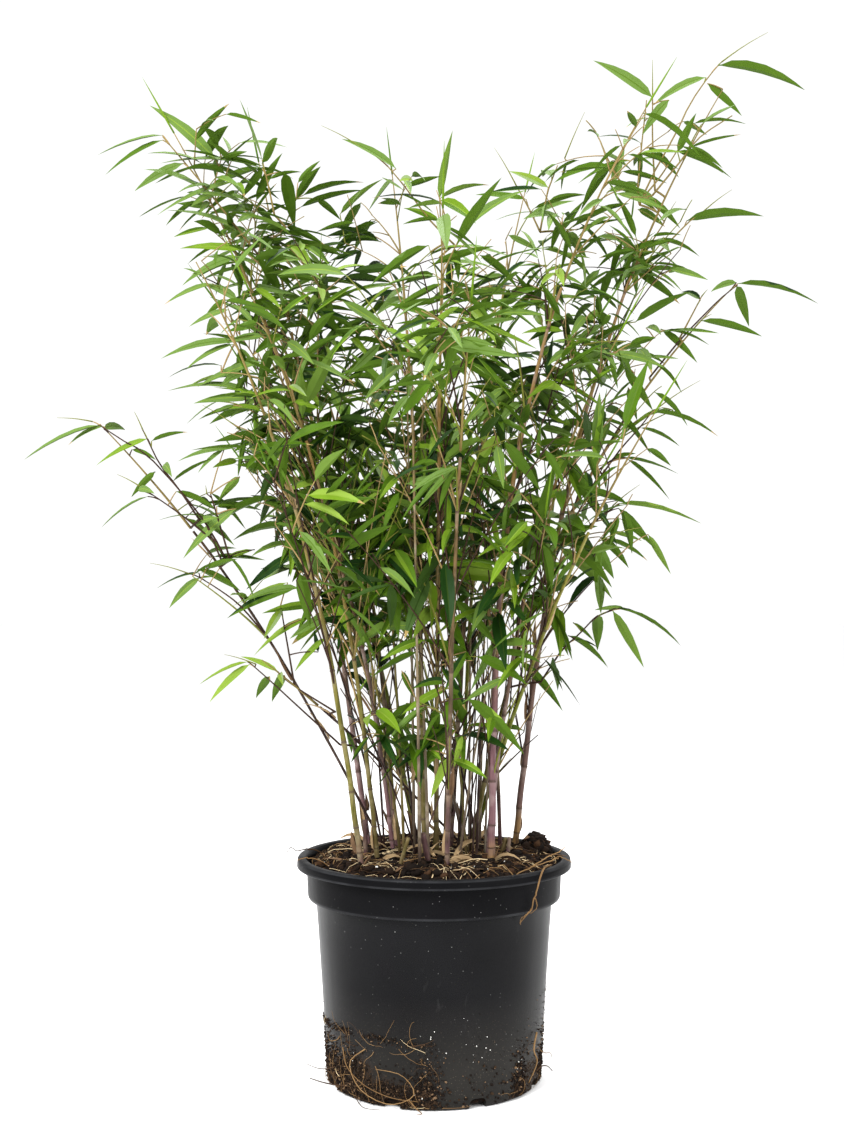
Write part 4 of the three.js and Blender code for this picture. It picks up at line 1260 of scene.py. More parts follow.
def takes_room(owner, start, end, radii):
    """Notes a strand if it keeps its gap, and says whether it does."""
    free = is_free(owner, start, end, radii)
    if free:
        place_strand(owner, start, end, radii)
    return free


class BoughLine:
    """The line of a bough: it leaves its culm steeply and bows outwards."""

    along = direction

    def __init__(self, start, heading, length, outward):
        self.start, self.heading, self.length, self.outward = start, heading, length, outward

    def at(self, t):
        bow = self.outward * self.length * BOW * t * t
        return self.start + self.heading * self.length * t + bow


class TopLine:
    """The end of a culm's own line, above its cane."""

    def __init__(self, culm):
        self.culm = culm
        self.low = CULM_SHARE + GAP / culm.length
        self.length = culm.length * (1 - self.low)

    def at(self, t):
        return self.culm.at(self.low + (1 - self.low) * t)

    def along(self, t):
        return self.culm.along(self.low + (1 - self.low) * t)


def place_line(owner, line, low, high, radius_at, steps):
    """Notes a limb in a few straight steps."""
    for i in range(steps):
        a, b = low + (high - low) * i / steps, low + (high - low) * (i + 1) / steps
        thick = max(radius_at(a), radius_at(b))
        place_strand(owner, line.at(a), line.at(b), (thick, thick, thick))


def top_radius(t):
    return (CULM_TIP + (LEADER_TIP - CULM_TIP) * (t - CULM_SHARE) / (1 - CULM_SHARE)) / 2


def bough_radius(t):
    return (BOUGH_GIRTH + (LEADER_TIP - BOUGH_GIRTH) * t) / 2


masses = []
for i, culm in enumerate(culms):
    place_line(i, culm["line"], 0, CULM_SHARE, lambda t: girth_at(culm["girth"], t) / 2, 12)
for i, culm in enumerate(culms):
    line = TopLine(culm["line"])
    place_line(len(culms) + i, culm["line"], line.low, 1, top_radius, 4)
    masses.append({"name": f"top_{i + 1:02d}", "line": line, "seed": 100 + i, "twigs": 6,
                   "first": 0.1, "length": 46, "space": 92, "inside": False})
for i, (number, node, turn, length, opening) in enumerate(BRANCHES):
    culm = culms[number - 1]["line"]
    along = culm.along(node)
    level = np.array([along[0], along[1], 0]) / math.hypot(along[0], along[1])
    lean = rotated(level, UP, math.radians(turn))
    opened = leaning(UP, lean, math.radians(opening))
    line = BoughLine(culm.at(node), unit(opened + along), length, lean)
    place_line(2 * len(culms) + i, line, 0.1, 1, bough_radius, 5)
    is_long = length == LONG
    masses.append({"name": f"branch_{i + 1:02d}", "line": line, "seed": 300 + i,
                   "twigs": 8 if is_long else 5, "first": 0.2, "length": 56, "space": 108,
                   "inside": is_long})
MASS_STOPS = 13
for i, mass in enumerate(masses):
    mass["owner"] = len(culms) + i
    mass["stops"] = np.array([mass["line"].at(j / (MASS_STOPS - 1)) for j in range(MASS_STOPS)])


def keeps_in(mass, place):
    """The masses of long boughs keep within a round crown that widens upwards."""
    edge = CROWN_RADIUS + CROWN_FLARE * (place[2] - LOWEST_LEAF)
    return not mass["inside"] or math.hypot(place[0], place[1]) <= edge


def is_inside(mass, place):
    """A mass keeps near its stem, and above the bare foot of the clump."""
    if not LOWEST_LEAF <= place[2] <= HIGHEST_LEAF or not keeps_in(mass, place):
        return False
    return bool(np.min(np.linalg.norm(mass["stops"] - place, axis=1)) < mass["space"])


def leaf_heading(heading, turn, draw):
    """A leaf's heading: turned aside from its twig's, and drooping."""
    aside = rotated(heading, UP, math.radians(turn + (draw() - 0.5) * LEAF_TURN_SPREAD))
    return unit(aside - UP * spread(LEAF_DROOP, draw()))


def blade_radii(length):
    return (0.6, length * LEAF_WIDTH_SHARE / 2, 0.2)


def grow_leaf(mass, root, heading, turn, lengths, draw):
    """One leaf out of a twig or stem if it has room."""
    for _ in range(TRIES):
        length = spread(lengths, draw())
        own = leaf_heading(heading, turn, draw)
        roll = math.radians((draw() - 0.5) * LEAF_ROLL)
        tip = root + own * length
        if is_inside(mass, tip) and takes_room(mass["owner"], root, tip, blade_radii(length)):
            return (root, own, length, roll)
    return None


def grow_twig(mass, share, turn, length, draw, checked=True):
    """One twig from the stem if it has room: its ends, end leaf and side leaf."""
    line = mass["line"]
    start, along = line.at(share), line.along(share)
    side, _ = across(along, 0)
    for attempt in range(TRIES):
        around = math.radians(turn + (0 if attempt == 0 else (draw() - 0.5) * TWIG_TURN_SPREAD))
        lean = rotated(side, along, around)
        opening = math.radians(TWIG_ANGLE + (draw() - 0.5) * TWIG_ANGLE_SPREAD)
        heading = unit(leaning(along, lean, opening) - UP * TWIG_SAG)
        end = start + heading * length
        leaf_length = spread(LEAF_LENGTH, draw())
        own = leaf_heading(heading, 0, draw)
        roll = math.radians((draw() - 0.5) * LEAF_ROLL)
        tip = end + own * leaf_length
        if not is_inside(mass, tip):
            continue
        twig = {"mass": mass, "start": start, "end": end, "leaf": (end, own, leaf_length, roll),
                "side_leaf": None}
        if not checked:
            return twig
        owner, radii = mass["owner"], blade_radii(leaf_length)
        if is_free(owner, start, end, TWIG_RADII) and is_free(owner, end, tip, radii):
            place_strand(owner, start, end, TWIG_RADII)
            place_strand(owner, end, tip, radii)
            root = start + (end - start) * 0.72
            aside = LEAF_SPREAD if draw() < 0.5 else -LEAF_SPREAD
            twig["side_leaf"] = grow_leaf(mass, root, heading, aside, LEAF_LENGTH, draw)
            return twig
    return None


# Masses whose seeded leaves are left out or thinned, as their shoots are set one by one below.
LOOSE = {"top_06": 0, "branch_08": 0, "top_10": 0.15, "top_11": 0.1, "top_15": 0, "branch_12": 0}
TWIG_RADII = (1, 1, 1)
SPEAR_RADII = (1, 1, 0)
SPEAR_LENGTH = 50
FLAG_LENGTH = (72, 78)
twigs, spears, flags = [], [], []
for mass in masses:
    draw = seeded(mass["seed"])
    first_turn = draw() * 360
    for i in range(mass["twigs"]):
        share = mass["first"] + (0.96 - mass["first"]) * i / max(1, mass["twigs"] - 1)
        length = mass["length"] * (1.15 - 0.5 * share) * spread((0.85, 1.15), draw())
        twigs.append(grow_twig(mass, share, first_turn + i * TWIG_TURN, length, draw))
    foot, heading = mass["line"].at(0.985), mass["line"].along(1)
    point = foot + heading * SPEAR_LENGTH
    has_room = takes_room(mass["owner"], foot, point, SPEAR_RADII)
    if has_room and mass["name"] not in (*LOOSE, "top_01"):
        spears.append((foot, point))
    level = unit(np.array([heading[0], heading[1], 0])) + heading * 0.3
    leaf = grow_leaf(mass, mass["line"].at(0.95), unit(level), 0, FLAG_LENGTH, draw)
    if leaf:
        flags.append((mass, leaf))

# Finer growth: each joint of a cane in the crown bears thin side shoots, and boughs and shoots bear
# more twigs than the solids do. Every twig ends in a fan of two to five leaves.
FINE_TWIGS = {"top": 5, "branch": 9}
FINE_LENGTH = (18, 62)
SHOOT_LENGTH = (70, 165)
SHOOT_ANGLE = (12, 30)
SHOOTS_PER_JOINT = 2
LOW_LEAVES = (205, 330)
FAN = (2, 5)
TWIGS_KEPT = [0.4, 0.35, 0.25]
STEMS_KEPT = [0.5, 0.35, 0.15]
FULLEST = 0.78
# How far the crown reaches left, right and back at these heights, and how high across it.
CROWN_HEIGHTS = [240, 300, 350, 400, 450, 500, 560, 620, 690, 760, 820]
CROWN_LEFT = [70, 84, 100, 124, 142, 165, 180, 183, 193, 200, 180]
CROWN_RIGHT = [66, 78, 92, 114, 134, 144, 152, 170, 180, 192, 215]
CROWN_DEPTH = [70, 95, 125, 150, 170, 185, 195, 200, 200, 190, 170]
TOP_PLACES = [-230, -193, -152, -111, -69, -28, 13, 55, 96, 137, 179, 220, 270]
TOP_HEIGHTS = [780, 765, 765, 745, 715, 695, 705, 715, 755, 790, 815, 831, 830]
GREENS = ["deep", "green", "fresh", "lime", "young"]

mass_stops = np.concatenate([mass["stops"] for mass in masses])
mass_spaces = np.repeat([mass["space"] for mass in masses], MASS_STOPS)


def mass_round(place):
    """The mass whose space holds a place most deeply, or none."""
    depth = mass_spaces - np.linalg.norm(mass_stops - place, axis=1)
    best = int(np.argmax(depth))
    if depth[best] <= 0 or place[2] > HIGHEST_LEAF:
        return None
    mass = masses[best // MASS_STOPS]
    return mass if keeps_in(mass, place) else None


rng = np.random.default_rng(47)
leaf_rows, leaf_masses, leaf_greens = [], [], []
twigs_drawn = {6: [], 10: []}


def draw_twig(mass, path, thick, thin, shade):
    """Notes a twig for its piece. High up, brown ones turn gold."""
    rows = twigs_drawn[len(path)]
    if shade == BROWN_TWIG and path[0][2] > 560 + 40 * (len(rows) % 4):
        shade = GOLD_TWIG
    rows.append((path, np.linspace(thick, thin, len(path)), mass, shade))


def twig_stops():
    """Places along the twigs so far, beyond their feet."""
    rows_of = twigs_drawn.values()
    return [np.array([row[0] for row in rows])[:, 2:].reshape(-1, 3) for rows in rows_of]


def bowed(start, end, sag, stops=6):
    """A path from start to end that bows upwards by a share of its length."""
    shares = np.linspace(0, 1, stops)[:, None]
    bow = UP * np.linalg.norm(end - start) * sag
    return start + (end - start) * shares + bow * np.sin(shares * math.pi)


def fullness(place):
    """How full the crown is at a place: over 1 inside it, 0 and less beyond its edge or top."""
    x, y, z = place
    wide = x / np.interp(z, CROWN_HEIGHTS, CROWN_RIGHT if x > 0 else CROWN_LEFT)
    deep = y / np.interp(z, CROWN_HEIGHTS, CROWN_DEPTH)
    edge = (1.06 - math.hypot(wide, deep)) / 0.25
    top = (np.interp(x, TOP_PLACES, TOP_HEIGHTS) - z) / 60 + 0.3
    return min(edge, top)


# Raised below, to fill places where the photo shows more leaves than the rule gives.
margin = 0


def add_leaf(root, heading, length, roll, green, mass, leading=0):
    """A leaf, kept where the crown has room for it."""
    tip = root + heading * length * 0.9
    if mass_round(tip) is None:
        return False
    share = fullness(tip) + leading + margin
    if mass["name"] in LOOSE and not margin:
        share = LOOSE[mass["name"]]
    if rng.uniform() > min(share, FULLEST):
        return False
    slim = float(np.interp(root[2], (380, 620), (0, 1)))
    length *= 1 - 0.12 * slim
    width = length * rng.uniform(0.17 - 0.04 * slim, 0.25 - 0.06 * slim)
    droop, twist, fold = rng.uniform(0.05, 0.75), rng.normal(0, 0.35), rng.uniform(0.2, 0.6)
    leaf_rows.append((root, heading, roll, length, width, droop, twist, fold))
    leaf_masses.append(mass)
    shift = (rng.uniform() < 0.22) * rng.choice([-1, 1])
    leaf_greens.append(min(max(green + shift, 0), len(GREENS) - 1))
    return True


def fan_of_leaves(mass, start, end, green, count, end_leaf=None):
    """Leaves at a twig's end: one goes on from it, the others stand to either side."""
    heading = unit(end - start)
    hand = rng.choice([-1, 1])
    size = rng.uniform(40, 62)
    kept = 0
    hang = float(np.interp(end[2], (420, 700), (1.25, 0.6)))
    if end_leaf is None:
        own = unit(heading * [1, 1, 0.6] - UP * rng.uniform(0.1, hang))
        kept += add_leaf(end, own, size, rng.normal(0, 0.6), green, mass)
    reach = np.linalg.norm(end - start)
    steep = max(0, heading[2] - 0.6) * 2.5
    fan_roll = rng.normal(0, 0.4) + steep * rng.uniform(-1.5, 1.5)
    for j in range(1, count):
        back = min(0.9, 0.1 + 9.0 * j / max(reach, 10) * rng.uniform(0.7, 1.2))
        root = end + (start - end) * back
        turn = math.radians(rng.uniform(28, 68))
        side, _ = across(heading, fan_roll)
        own = leaning(heading, side * hand * (1 if j % 2 else -1), turn)
        own = unit(own * [1, 1, 0.7] - UP * rng.uniform(0.0, hang))
        kept += add_leaf(root, own, size * rng.uniform(0.72, 1.0), rng.normal(0, 0.7), green, mass)
    return kept


def outer_share(x, y, z):
    """How far out and up a place is, from 0 low inside to 1 near the tips."""
    return np.hypot(x, y) / 260 + (z - 400) / 900


def spray_green(place):
    """A spray's green: deeper inside and low down, partly the leaves' own colour and partly painted
    shade where the crown shades itself, and fresher at the edge.
    """
    green = rng.normal(0.72 + outer_share(*place) * 1.05, 0.85)
    return int(np.clip(round(green), 0, len(GREENS) - 1))


for mass in masses:
    top = mass["name"].startswith("top")
    stem = np.array([mass["line"].at(t) for t in np.linspace(0, 1, 10)])
    shade = GOLD_TWIG if top else rng.choice(3, p=STEMS_KEPT)
    draw_twig(mass, stem, 2.4 if top else 2.2, 0.9, shade)
for twig in filter(None, twigs):
    mass, start, end, green = twig["mass"], twig["start"], twig["end"], spray_green(twig["end"])
    kept = fan_of_leaves(mass, start, end, green, rng.integers(2, 5), twig["leaf"])
    for root, own, length, roll in filter(None, (twig["leaf"], twig["side_leaf"])):
        length *= rng.uniform(0.62, 0.8)
        kept += add_leaf(root, own, length, roll, green, mass, leading=0.7)
    if kept:
        draw_twig(mass, bowed(start, end, 0.05), 1.4, 0.9, rng.choice(3, p=TWIGS_KEPT))
for mass, (root, own, length, roll) in flags:
    add_leaf(root, own, length * 0.9, roll, spray_green(root), mass, leading=0.9)
for mass in masses:
    if mass["name"] in LOOSE:
        continue
    draw = seeded(mass["seed"] + 1000)
    first_turn = draw() * 360
    count = FINE_TWIGS["top" if mass["name"].startswith("top") else "branch"]
    for i in range(count):
        share = 0.06 + 0.9 * (i + 0.5) / count
        length = spread(FINE_LENGTH, draw()) * (1.2 - 0.5 * share)
        twig = grow_twig(mass, share, first_turn + i * TWIG_TURN, length, draw, checked=False)
        if twig:
            start, end, green = twig["start"], twig["end"], spray_green(twig["end"])
            if fan_of_leaves(mass, start, end, green, rng.integers(*FAN)):
                draw_twig(mass, bowed(start, end, 0.06), 1.1, 0.6, rng.choice(3, p=TWIGS_KEPT))


def grow_shoot(line, t, reach, joints):
    """A thin side shoot from a cane, with leafy twigs at its own joints."""
    place, along = line.at(t), line.along(t)
    outward = np.array([place[0], place[1], 0]) / (math.hypot(place[0], place[1]) + 1e-6)
    side = bearing(any_turn(rng)) + outward * rng.uniform(0, 1.1)
    side -= along * np.dot(side, along)
    side /= np.linalg.norm(side)
    heading = leaning(along, side, math.radians(rng.uniform(*SHOOT_ANGLE)))

    def up_to(end):
        shares = np.linspace(0, end, 10)[:, None]
        return place + heading * reach * shares + side * reach * 0.16 * shares**2

    path = up_to(1)
    shade = rng.choice(3, p=STEMS_KEPT)
    last, holder = 0, None
    for k in joints:
        start = path[k]
        own = bearing(any_turn(rng)) + side * rng.uniform(0, 1.2)
        opening = math.radians(rng.uniform(35, 78)) if k < 9 else 0.4
        end = start + leaning(heading, unit(own), opening) * rng.uniform(8, 34)
        home = mass_round(end)
        if home and fan_of_leaves(home, start, end, spray_green(end), rng.integers(2, 5)):
            draw_twig(home, bowed(start, end, 0.04), 1.1, 0.7, shade)
            last, holder = k, home
    if holder:
        draw_twig(holder, up_to(last / 9), 1.6, 0.8, shade)


for culm in culms:
    if culm["colour"] == "dark":
        continue
    line = culm["line"]
    joints = list(culm["joints"][1:-1])
    joints += list(np.arange((joints[-1] if joints else 0) + 60, line.length - 60, 58))
    for stop in joints:
        t = stop / line.length
        place = line.at(t)
        if place[2] < 300 or math.hypot(place[0], place[1]) > 175:
            continue
        for _ in range(SHOOTS_PER_JOINT):
            grow_shoot(line, t, rng.uniform(*SHOOT_LENGTH) * (1.15 - 0.6 * t), (4, 6, 7, 9))
for _, line, t, place in joints_from(2):
    if LOW_LEAVES[0] < place[2] < LOW_LEAVES[1] and rng.uniform() < 0.16:
        grow_shoot(line, t, rng.uniform(30, 80), (5, 7, 9))

# Places where the photo shows the crown fuller than the rule makes it: across, deep, height, their
# reach, and how many twigs fill them. Each of these twigs leaves the nearest limb below it.
FULL_PLACES = [
    (-140, 10, 692, 46, 19), (-178, -20, 742, 34, 11), (-130, 30, 642, 30, 5), (-90, 0, 650, 34, 6),
    (-86, 0, 695, 30, 3), (13, -10, 640, 46, 14), (63, 0, 645, 40, 8), (113, 10, 642, 46, 12),
    (63, 10, 592, 38, 8), (113, 20, 742, 40, 4), (163, 30, 692, 38, 22), (165, 20, 775, 24, 2),
    (162, 10, 442, 38, 13), (115, 0, 395, 24, 3), (13, 0, 542, 40, 8), (-86, 10, 542, 40, 13),
    (163, 10, 592, 38, 3), (163, 20, 642, 38, 2), (-36, 20, 735, 30, 2), (-120, 10, 395, 32, 4),
    (10, -40, 290, 20, 2), (-32, -30, 300, 26, 6), (-86, 10, 592, 34, 3), (-180, 0, 442, 30, 4),
    (-186, 0, 482, 26, 3), (-145, -50, 690, 40, 6), (-130, 10, 492, 30, 4), (-86, 0, 492, 30, 2),
    (-132, 70, 694, 40, 5), (113, 10, 342, 26, 3), (63, 0, 492, 36, 4),
    (2, -222, 582, 24, 6), (4, -185, 598, 30, 5),
]
margin = 1.3
LONGEST_FILL = 55
limbs = np.concatenate([mass_stops, *twig_stops()])
for i, (x, y, z, reach, count) in enumerate(FULL_PLACES):
    rng = np.random.default_rng(200 + i)
    for _ in range(count):
        place = np.array([x, y, z]) + rng.normal(0, reach / 2, 3)
        below = limbs[limbs[:, 2] < place[2] - 5]
        start = below[np.argmin(np.linalg.norm(below - place, axis=1))]
        end = start + (place - start) * min(1, LONGEST_FILL / np.linalg.norm(place - start))
        home = mass_round(end)
        if home and fan_of_leaves(home, start, end, spray_green(end), rng.integers(3, 6)):
            draw_twig(home, bowed(start, end, 0.04), 1.1, 0.7, rng.choice(3, p=STEMS_KEPT))

# Outer sprays: the leaves and shoots that stand clear of the crown and make its outline, each set
# in its own place. A group's depth comes first, then root and tip as across and height, the width
# that shows, and the green. A width of 1 is a rolled young leaf.
OUTER_STEMS = {
    20: [[(173, 725), (184, 750), (203, 784), (215, 809), (229, 830), (239, 842)],
         [(171, 733), (174, 767), (179, 813)], [(186, 737), (184, 779), (184, 815)],
         [(174, 729), (190, 748), (205, 771)], [(184, 733), (207, 761), (224, 782), (251, 800)],
         [(173, 737), (159, 742), (147, 762), (137, 785), (128, 796)]],
    40: [[(18, 696), (-3, 717), (-24, 745), (-39, 763)], [(7, 696), (5, 736)],
         [(91, 707), (97, 739), (101, 751), (106, 764)], [(91, 707), (82, 726), (71, 746)]],
    -20: [[(-150, 682), (-178, 718), (-199, 744), (-221, 770)],
          [(-130, 706), (-135, 730), (-140, 751)],
          [(-170, 427), (-185, 454), (-207, 482), (-234, 511), (-254, 523), (-272, 535)],
          [(-191, 458), (-207, 482), (-223, 503), (-233, 523), (-238, 533)],
          [(-182, 443), (-207, 463), (-233, 481)], [(-173, 425), (-182, 446), (-188, 461)],
          [(-166, 425), (-178, 466), (-182, 479)]],
    -10: [[(-140, 366), (-159, 388), (-176, 401), (-192, 411)],
          [(-81, 301), (-110, 319), (-128, 332)],
          [(-77, 274), (-110, 304), (-135, 327), (-151, 341)],
          [(-115, 325), (-121, 360), (-126, 388)]],
    50: [[(188, 685), (205, 703), (221, 719), (231, 726)], [(178, 684), (188, 701), (199, 718)],
         [(186, 584), (212, 616), (230, 635), (247, 652), (262, 664)],
         [(212, 618), (221, 635), (231, 654)]],
    25: [[(137, 491), (157, 519), (172, 536), (184, 551)], [(139, 502), (151, 511), (162, 513)],
         [(132, 456), (151, 470), (157, 474)]],
    10: [[(89, 324), (107, 351), (120, 363), (135, 378), (149, 384)]],
}
OUTER_LEAVES = {
    20: [(239, 842, 313, 824, 5, 1), (229, 832, 184, 809, 7, 2), (230, 827, 259, 800, 7, 4),
         (184, 815, 136, 848, 10, 2), (198, 813, 175, 781, 8, 4), (180, 798, 161, 790, 2, 0),
         (205, 769, 220, 802, 7, 3), (218, 793, 263, 795, 2, 1), (204, 770, 244, 752, 5, 2),
         (216, 774, 243, 756, 5, 4), (242, 845, 281, 870, 1, 0), (174, 777, 137, 785, 3, 1),
         (150, 742, 162, 778, 8, 1), (147, 758, 100, 745, 7, 1), (173, 742, 148, 743, 7, 2),
         (158, 753, 196, 744, 3, 2), (110, 764, 127, 803, 1, 0), (184, 815, 184, 847, 1, 0),
         (186, 729, 148, 742, 7, 2), (190, 764, 173, 764, 2, 0)],
    40: [(-32, 761, -77, 789, 7, 1), (-58, 777, -96, 798, 1, 0), (5, 735, 16, 793, 7, 3),
         (6, 736, 47, 751, 4, 3), (5, 733, -53, 739, 3, 0), (6, 734, 35, 707, 10, 2),
         (5, 716, -25, 729, 6, 1), (-29, 751, -17, 744, 6, 4), (71, 746, 52, 779, 1, 0),
         (98, 745, 65, 760, 7, 4), (101, 754, 98, 776, 12, 1), (79, 735, 36, 740, 6, 1),
         (99, 734, 130, 740, 4, 0), (89, 724, 52, 718, 2, 1), (-80, 722, -45, 754, 5, 3),
         (-112, 738, -60, 753, 4, 0), (-114, 728, -61, 745, 3, 1), (-100, 735, -80, 722, 6, 0),
         (-116, 749, -98, 769, 5, 3), (108, 707, 128, 734, 6, 2)],
    -20: [(-221, 771, -274, 756, 4, 0), (-221, 767, -268, 739, 6, 2), (-204, 748, -244, 726, 7, 2),
          (-178, 751, -229, 797, 10, 3), (-140, 744, -223, 752, 6, 0), (-189, 748, -233, 759, 2, 0),
          (-165, 750, -181, 763, 5, 1), (-139, 743, -160, 725, 7, 0), (-140, 751, -158, 800, 2, 0),
          (-140, 748, -123, 757, 10, 2), (-134, 735, -108, 743, 3, 0),
          (-122, 741, -117, 706, 11, 1), (-163, 733, -226, 707, 7, 2), (-150, 686, -215, 716, 6, 2),
          (-178, 723, -195, 708, 6, 3), (-186, 728, -207, 737, 2, 0), (-173, 690, -191, 696, 7, 4),
          (-154, 710, -168, 721, 8, 0), (-272, 535, -334, 508, 4, 3), (-269, 534, -298, 519, 4, 4),
          (-269, 532, -258, 537, 7, 4), (-278, 538, -307, 541, 1, 0), (-233, 524, -275, 503, 6, 2),
          (-237, 531, -244, 546, 1, 0), (-246, 515, -226, 507, 4, 0), (-230, 522, -201, 531, 3, 1),
          (-220, 503, -208, 491, 7, 4), (-213, 489, -179, 510, 2, 0), (-227, 497, -248, 477, 6, 2),
          (-241, 482, -223, 479, 6, 3), (-233, 477, -271, 452, 2, 0), (-239, 485, -258, 495, 1, 0),
          (-210, 481, -178, 468, 5, 3), (-187, 461, -225, 459, 2, 1), (-161, 467, -204, 427, 8, 2),
          (-177, 469, -160, 469, 4, 1), (-163, 516, -209, 507, 5, 1), (-171, 515, -192, 496, 4, 1),
          (-160, 506, -177, 499, 6, 2), (-158, 493, -179, 474, 7, 3), (-185, 479, -186, 486, 1, 0)],
    -30: [(-156, 675, -205, 678, 7, 2), (-157, 670, -204, 647, 7, 1), (-179, 648, -218, 632, 5, 4),
          (-159, 635, -187, 652, 7, 1), (-187, 653, -202, 662, 2, 0), (-168, 635, -187, 624, 5, 2),
          (-166, 627, -198, 614, 5, 2), (-157, 619, -173, 607, 2, 0), (-144, 607, -168, 602, 2, 0),
          (-138, 605, -168, 601, 6, 2), (-160, 601, -221, 590, 7, 1), (-162, 599, -201, 579, 5, 2),
          (-138, 585, -191, 566, 7, 3), (-172, 582, -216, 574, 2, 0), (-131, 595, -147, 568, 10, 2),
          (-148, 561, -215, 565, 7, 2), (-148, 555, -194, 553, 7, 2), (-175, 553, -200, 535, 2, 0),
          (-138, 558, -165, 540, 5, 2), (-154, 575, -169, 561, 7, 0), (-156, 530, -187, 550, 1, 0),
          (-162, 550, -177, 545, 3, 1), (-149, 643, -160, 633, 5, 1), (-147, 617, -163, 635, 5, 3)],
    -10: [(-192, 411, -217, 386, 7, 3), (-193, 415, -228, 403, 3, 1), (-200, 414, -233, 423, 1, 0),
          (-192, 411, -182, 412, 2, 4), (-147, 434, -192, 415, 5, 2), (-117, 430, -154, 402, 8, 0),
          (-120, 407, -166, 388, 4, 3), (-112, 403, -170, 379, 8, 1), (-92, 389, -141, 383, 7, 1),
          (-125, 385, -137, 362, 7, 4), (-103, 378, -148, 347, 6, 2), (-85, 382, -117, 362, 8, 1),
          (-88, 362, -114, 334, 5, 2), (-95, 350, -99, 368, 4, 0), (-151, 340, -184, 309, 6, 3),
          (-153, 342, -193, 324, 3, 2), (-128, 334, -158, 348, 5, 3), (-135, 330, -149, 311, 7, 2),
          (-123, 331, -136, 307, 8, 2), (-146, 340, -172, 348, 1, 0), (-127, 332, -121, 325, 6, 4)],
    50: [(218, 719, 284, 727, 7, 2), (230, 725, 257, 746, 1, 0), (178, 742, 212, 712, 7, 3),
         (176, 729, 203, 720, 7, 2), (192, 703, 230, 689, 3, 1), (189, 701, 198, 684, 8, 2),
         (199, 719, 209, 736, 1, 0), (173, 676, 212, 648, 7, 3), (174, 632, 220, 660, 7, 1),
         (230, 651, 218, 665, 6, 2), (261, 666, 236, 656, 6, 4), (261, 663, 280, 635, 10, 1),
         (262, 665, 332, 650, 4, 2), (230, 633, 283, 621, 4, 1), (231, 634, 240, 639, 1, 0),
         (196, 626, 227, 597, 6, 3), (199, 625, 238, 613, 2, 0), (183, 627, 191, 616, 7, 4),
         (176, 606, 200, 596, 3, 1), (231, 654, 236, 660, 1, 0)],
    25: [(185, 551, 241, 532, 4, 0), (187, 553, 225, 578, 1, 0), (174, 538, 208, 523, 2, 0),
         (147, 559, 183, 516, 5, 2), (161, 589, 185, 553, 8, 3), (164, 572, 175, 547, 7, 3),
         (141, 546, 170, 536, 3, 1), (108, 544, 161, 529, 7, 1), (160, 513, 207, 500, 3, 1),
         (163, 512, 199, 478, 4, 1), (151, 512, 170, 517, 4, 2), (144, 503, 147, 487, 4, 2),
         (151, 472, 174, 490, 1, 0), (156, 474, 226, 459, 5, 3), (156, 470, 186, 437, 8, 2),
         (181, 448, 200, 415, 6, 4), (151, 450, 176, 443, 4, 4), (140, 446, 164, 419, 7, 2),
         (145, 444, 181, 426, 4, 2), (107, 460, 143, 415, 11, 1), (105, 437, 150, 393, 10, 3),
         (107, 520, 148, 453, 12, 2), (158, 461, 178, 443, 5, 2)],
    10: [(149, 384, 175, 337, 8, 3), (155, 385, 206, 355, 2, 1), (152, 386, 184, 373, 2, 0),
         (137, 380, 141, 349, 10, 1), (159, 386, 134, 385, 4, 2), (112, 363, 145, 336, 5, 1),
         (117, 359, 138, 353, 2, 0), (116, 374, 134, 358, 3, 1), (89, 408, 112, 347, 12, 2),
         (71, 342, 107, 300, 8, 2), (99, 335, 122, 305, 2, 0)],
    -55: [(11, 324, -26, 303, 7, 2), (13, 323, 27, 284, 12, 2), (26, 315, 70, 271, 10, 2),
          (56, 331, 22, 312, 6, 3), (25, 352, 8, 322, 7, 1), (30, 345, -8, 363, 10, 1),
          (34, 348, 73, 327, 9, 1), (50, 351, 85, 345, 6, 2), (52, 358, 78, 360, 7, 3),
          (9, 328, -18, 326, 7, 1), (-8, 361, -43, 345, 7, 2), (-17, 372, -46, 370, 7, 3),
          (-1, 387, -17, 364, 10, 3), (-26, 337, -17, 316, 5, 1), (-11, 284, -34, 279, 5, 0),
          (17, 290, -2, 275, 6, 1), (11, 269, -3, 236, 7, 3), (15, 266, 41, 255, 7, 2),
          (22, 286, 15, 260, 5, 3), (11, 315, 9, 289, 7, 1), (46, 300, 41, 284, 7, 1),
          (-4, 274, 7, 266, 4, 2), (43, 393, 28, 369, 10, 3), (16, 393, 49, 357, 9, 1)],
}


def nearest_limb(place, limbs):
    """The closest limb point below a place, rather one at the same depth."""
    below = limbs[limbs[:, 2] < place[2] - 2]
    away = np.linalg.norm(below - place, axis=1) + 0.3 * np.abs(below[:, 1] - place[1])
    return below[np.argmin(away)]


def nearest_mass(place):
    return masses[int(np.argmin(np.linalg.norm(mass_stops - place, axis=1))) // MASS_STOPS]


def roll_to_show(heading, share):
    """The roll that shows this share of a blade's width from the front."""
    rolls = np.radians(np.arange(-90, 91, 6))
    shown = [abs(np.cross(across(heading, roll)[0], heading)[1]) for roll in rolls]
    return rolls[int(np.argmin(np.abs(np.array(shown) - share)))]


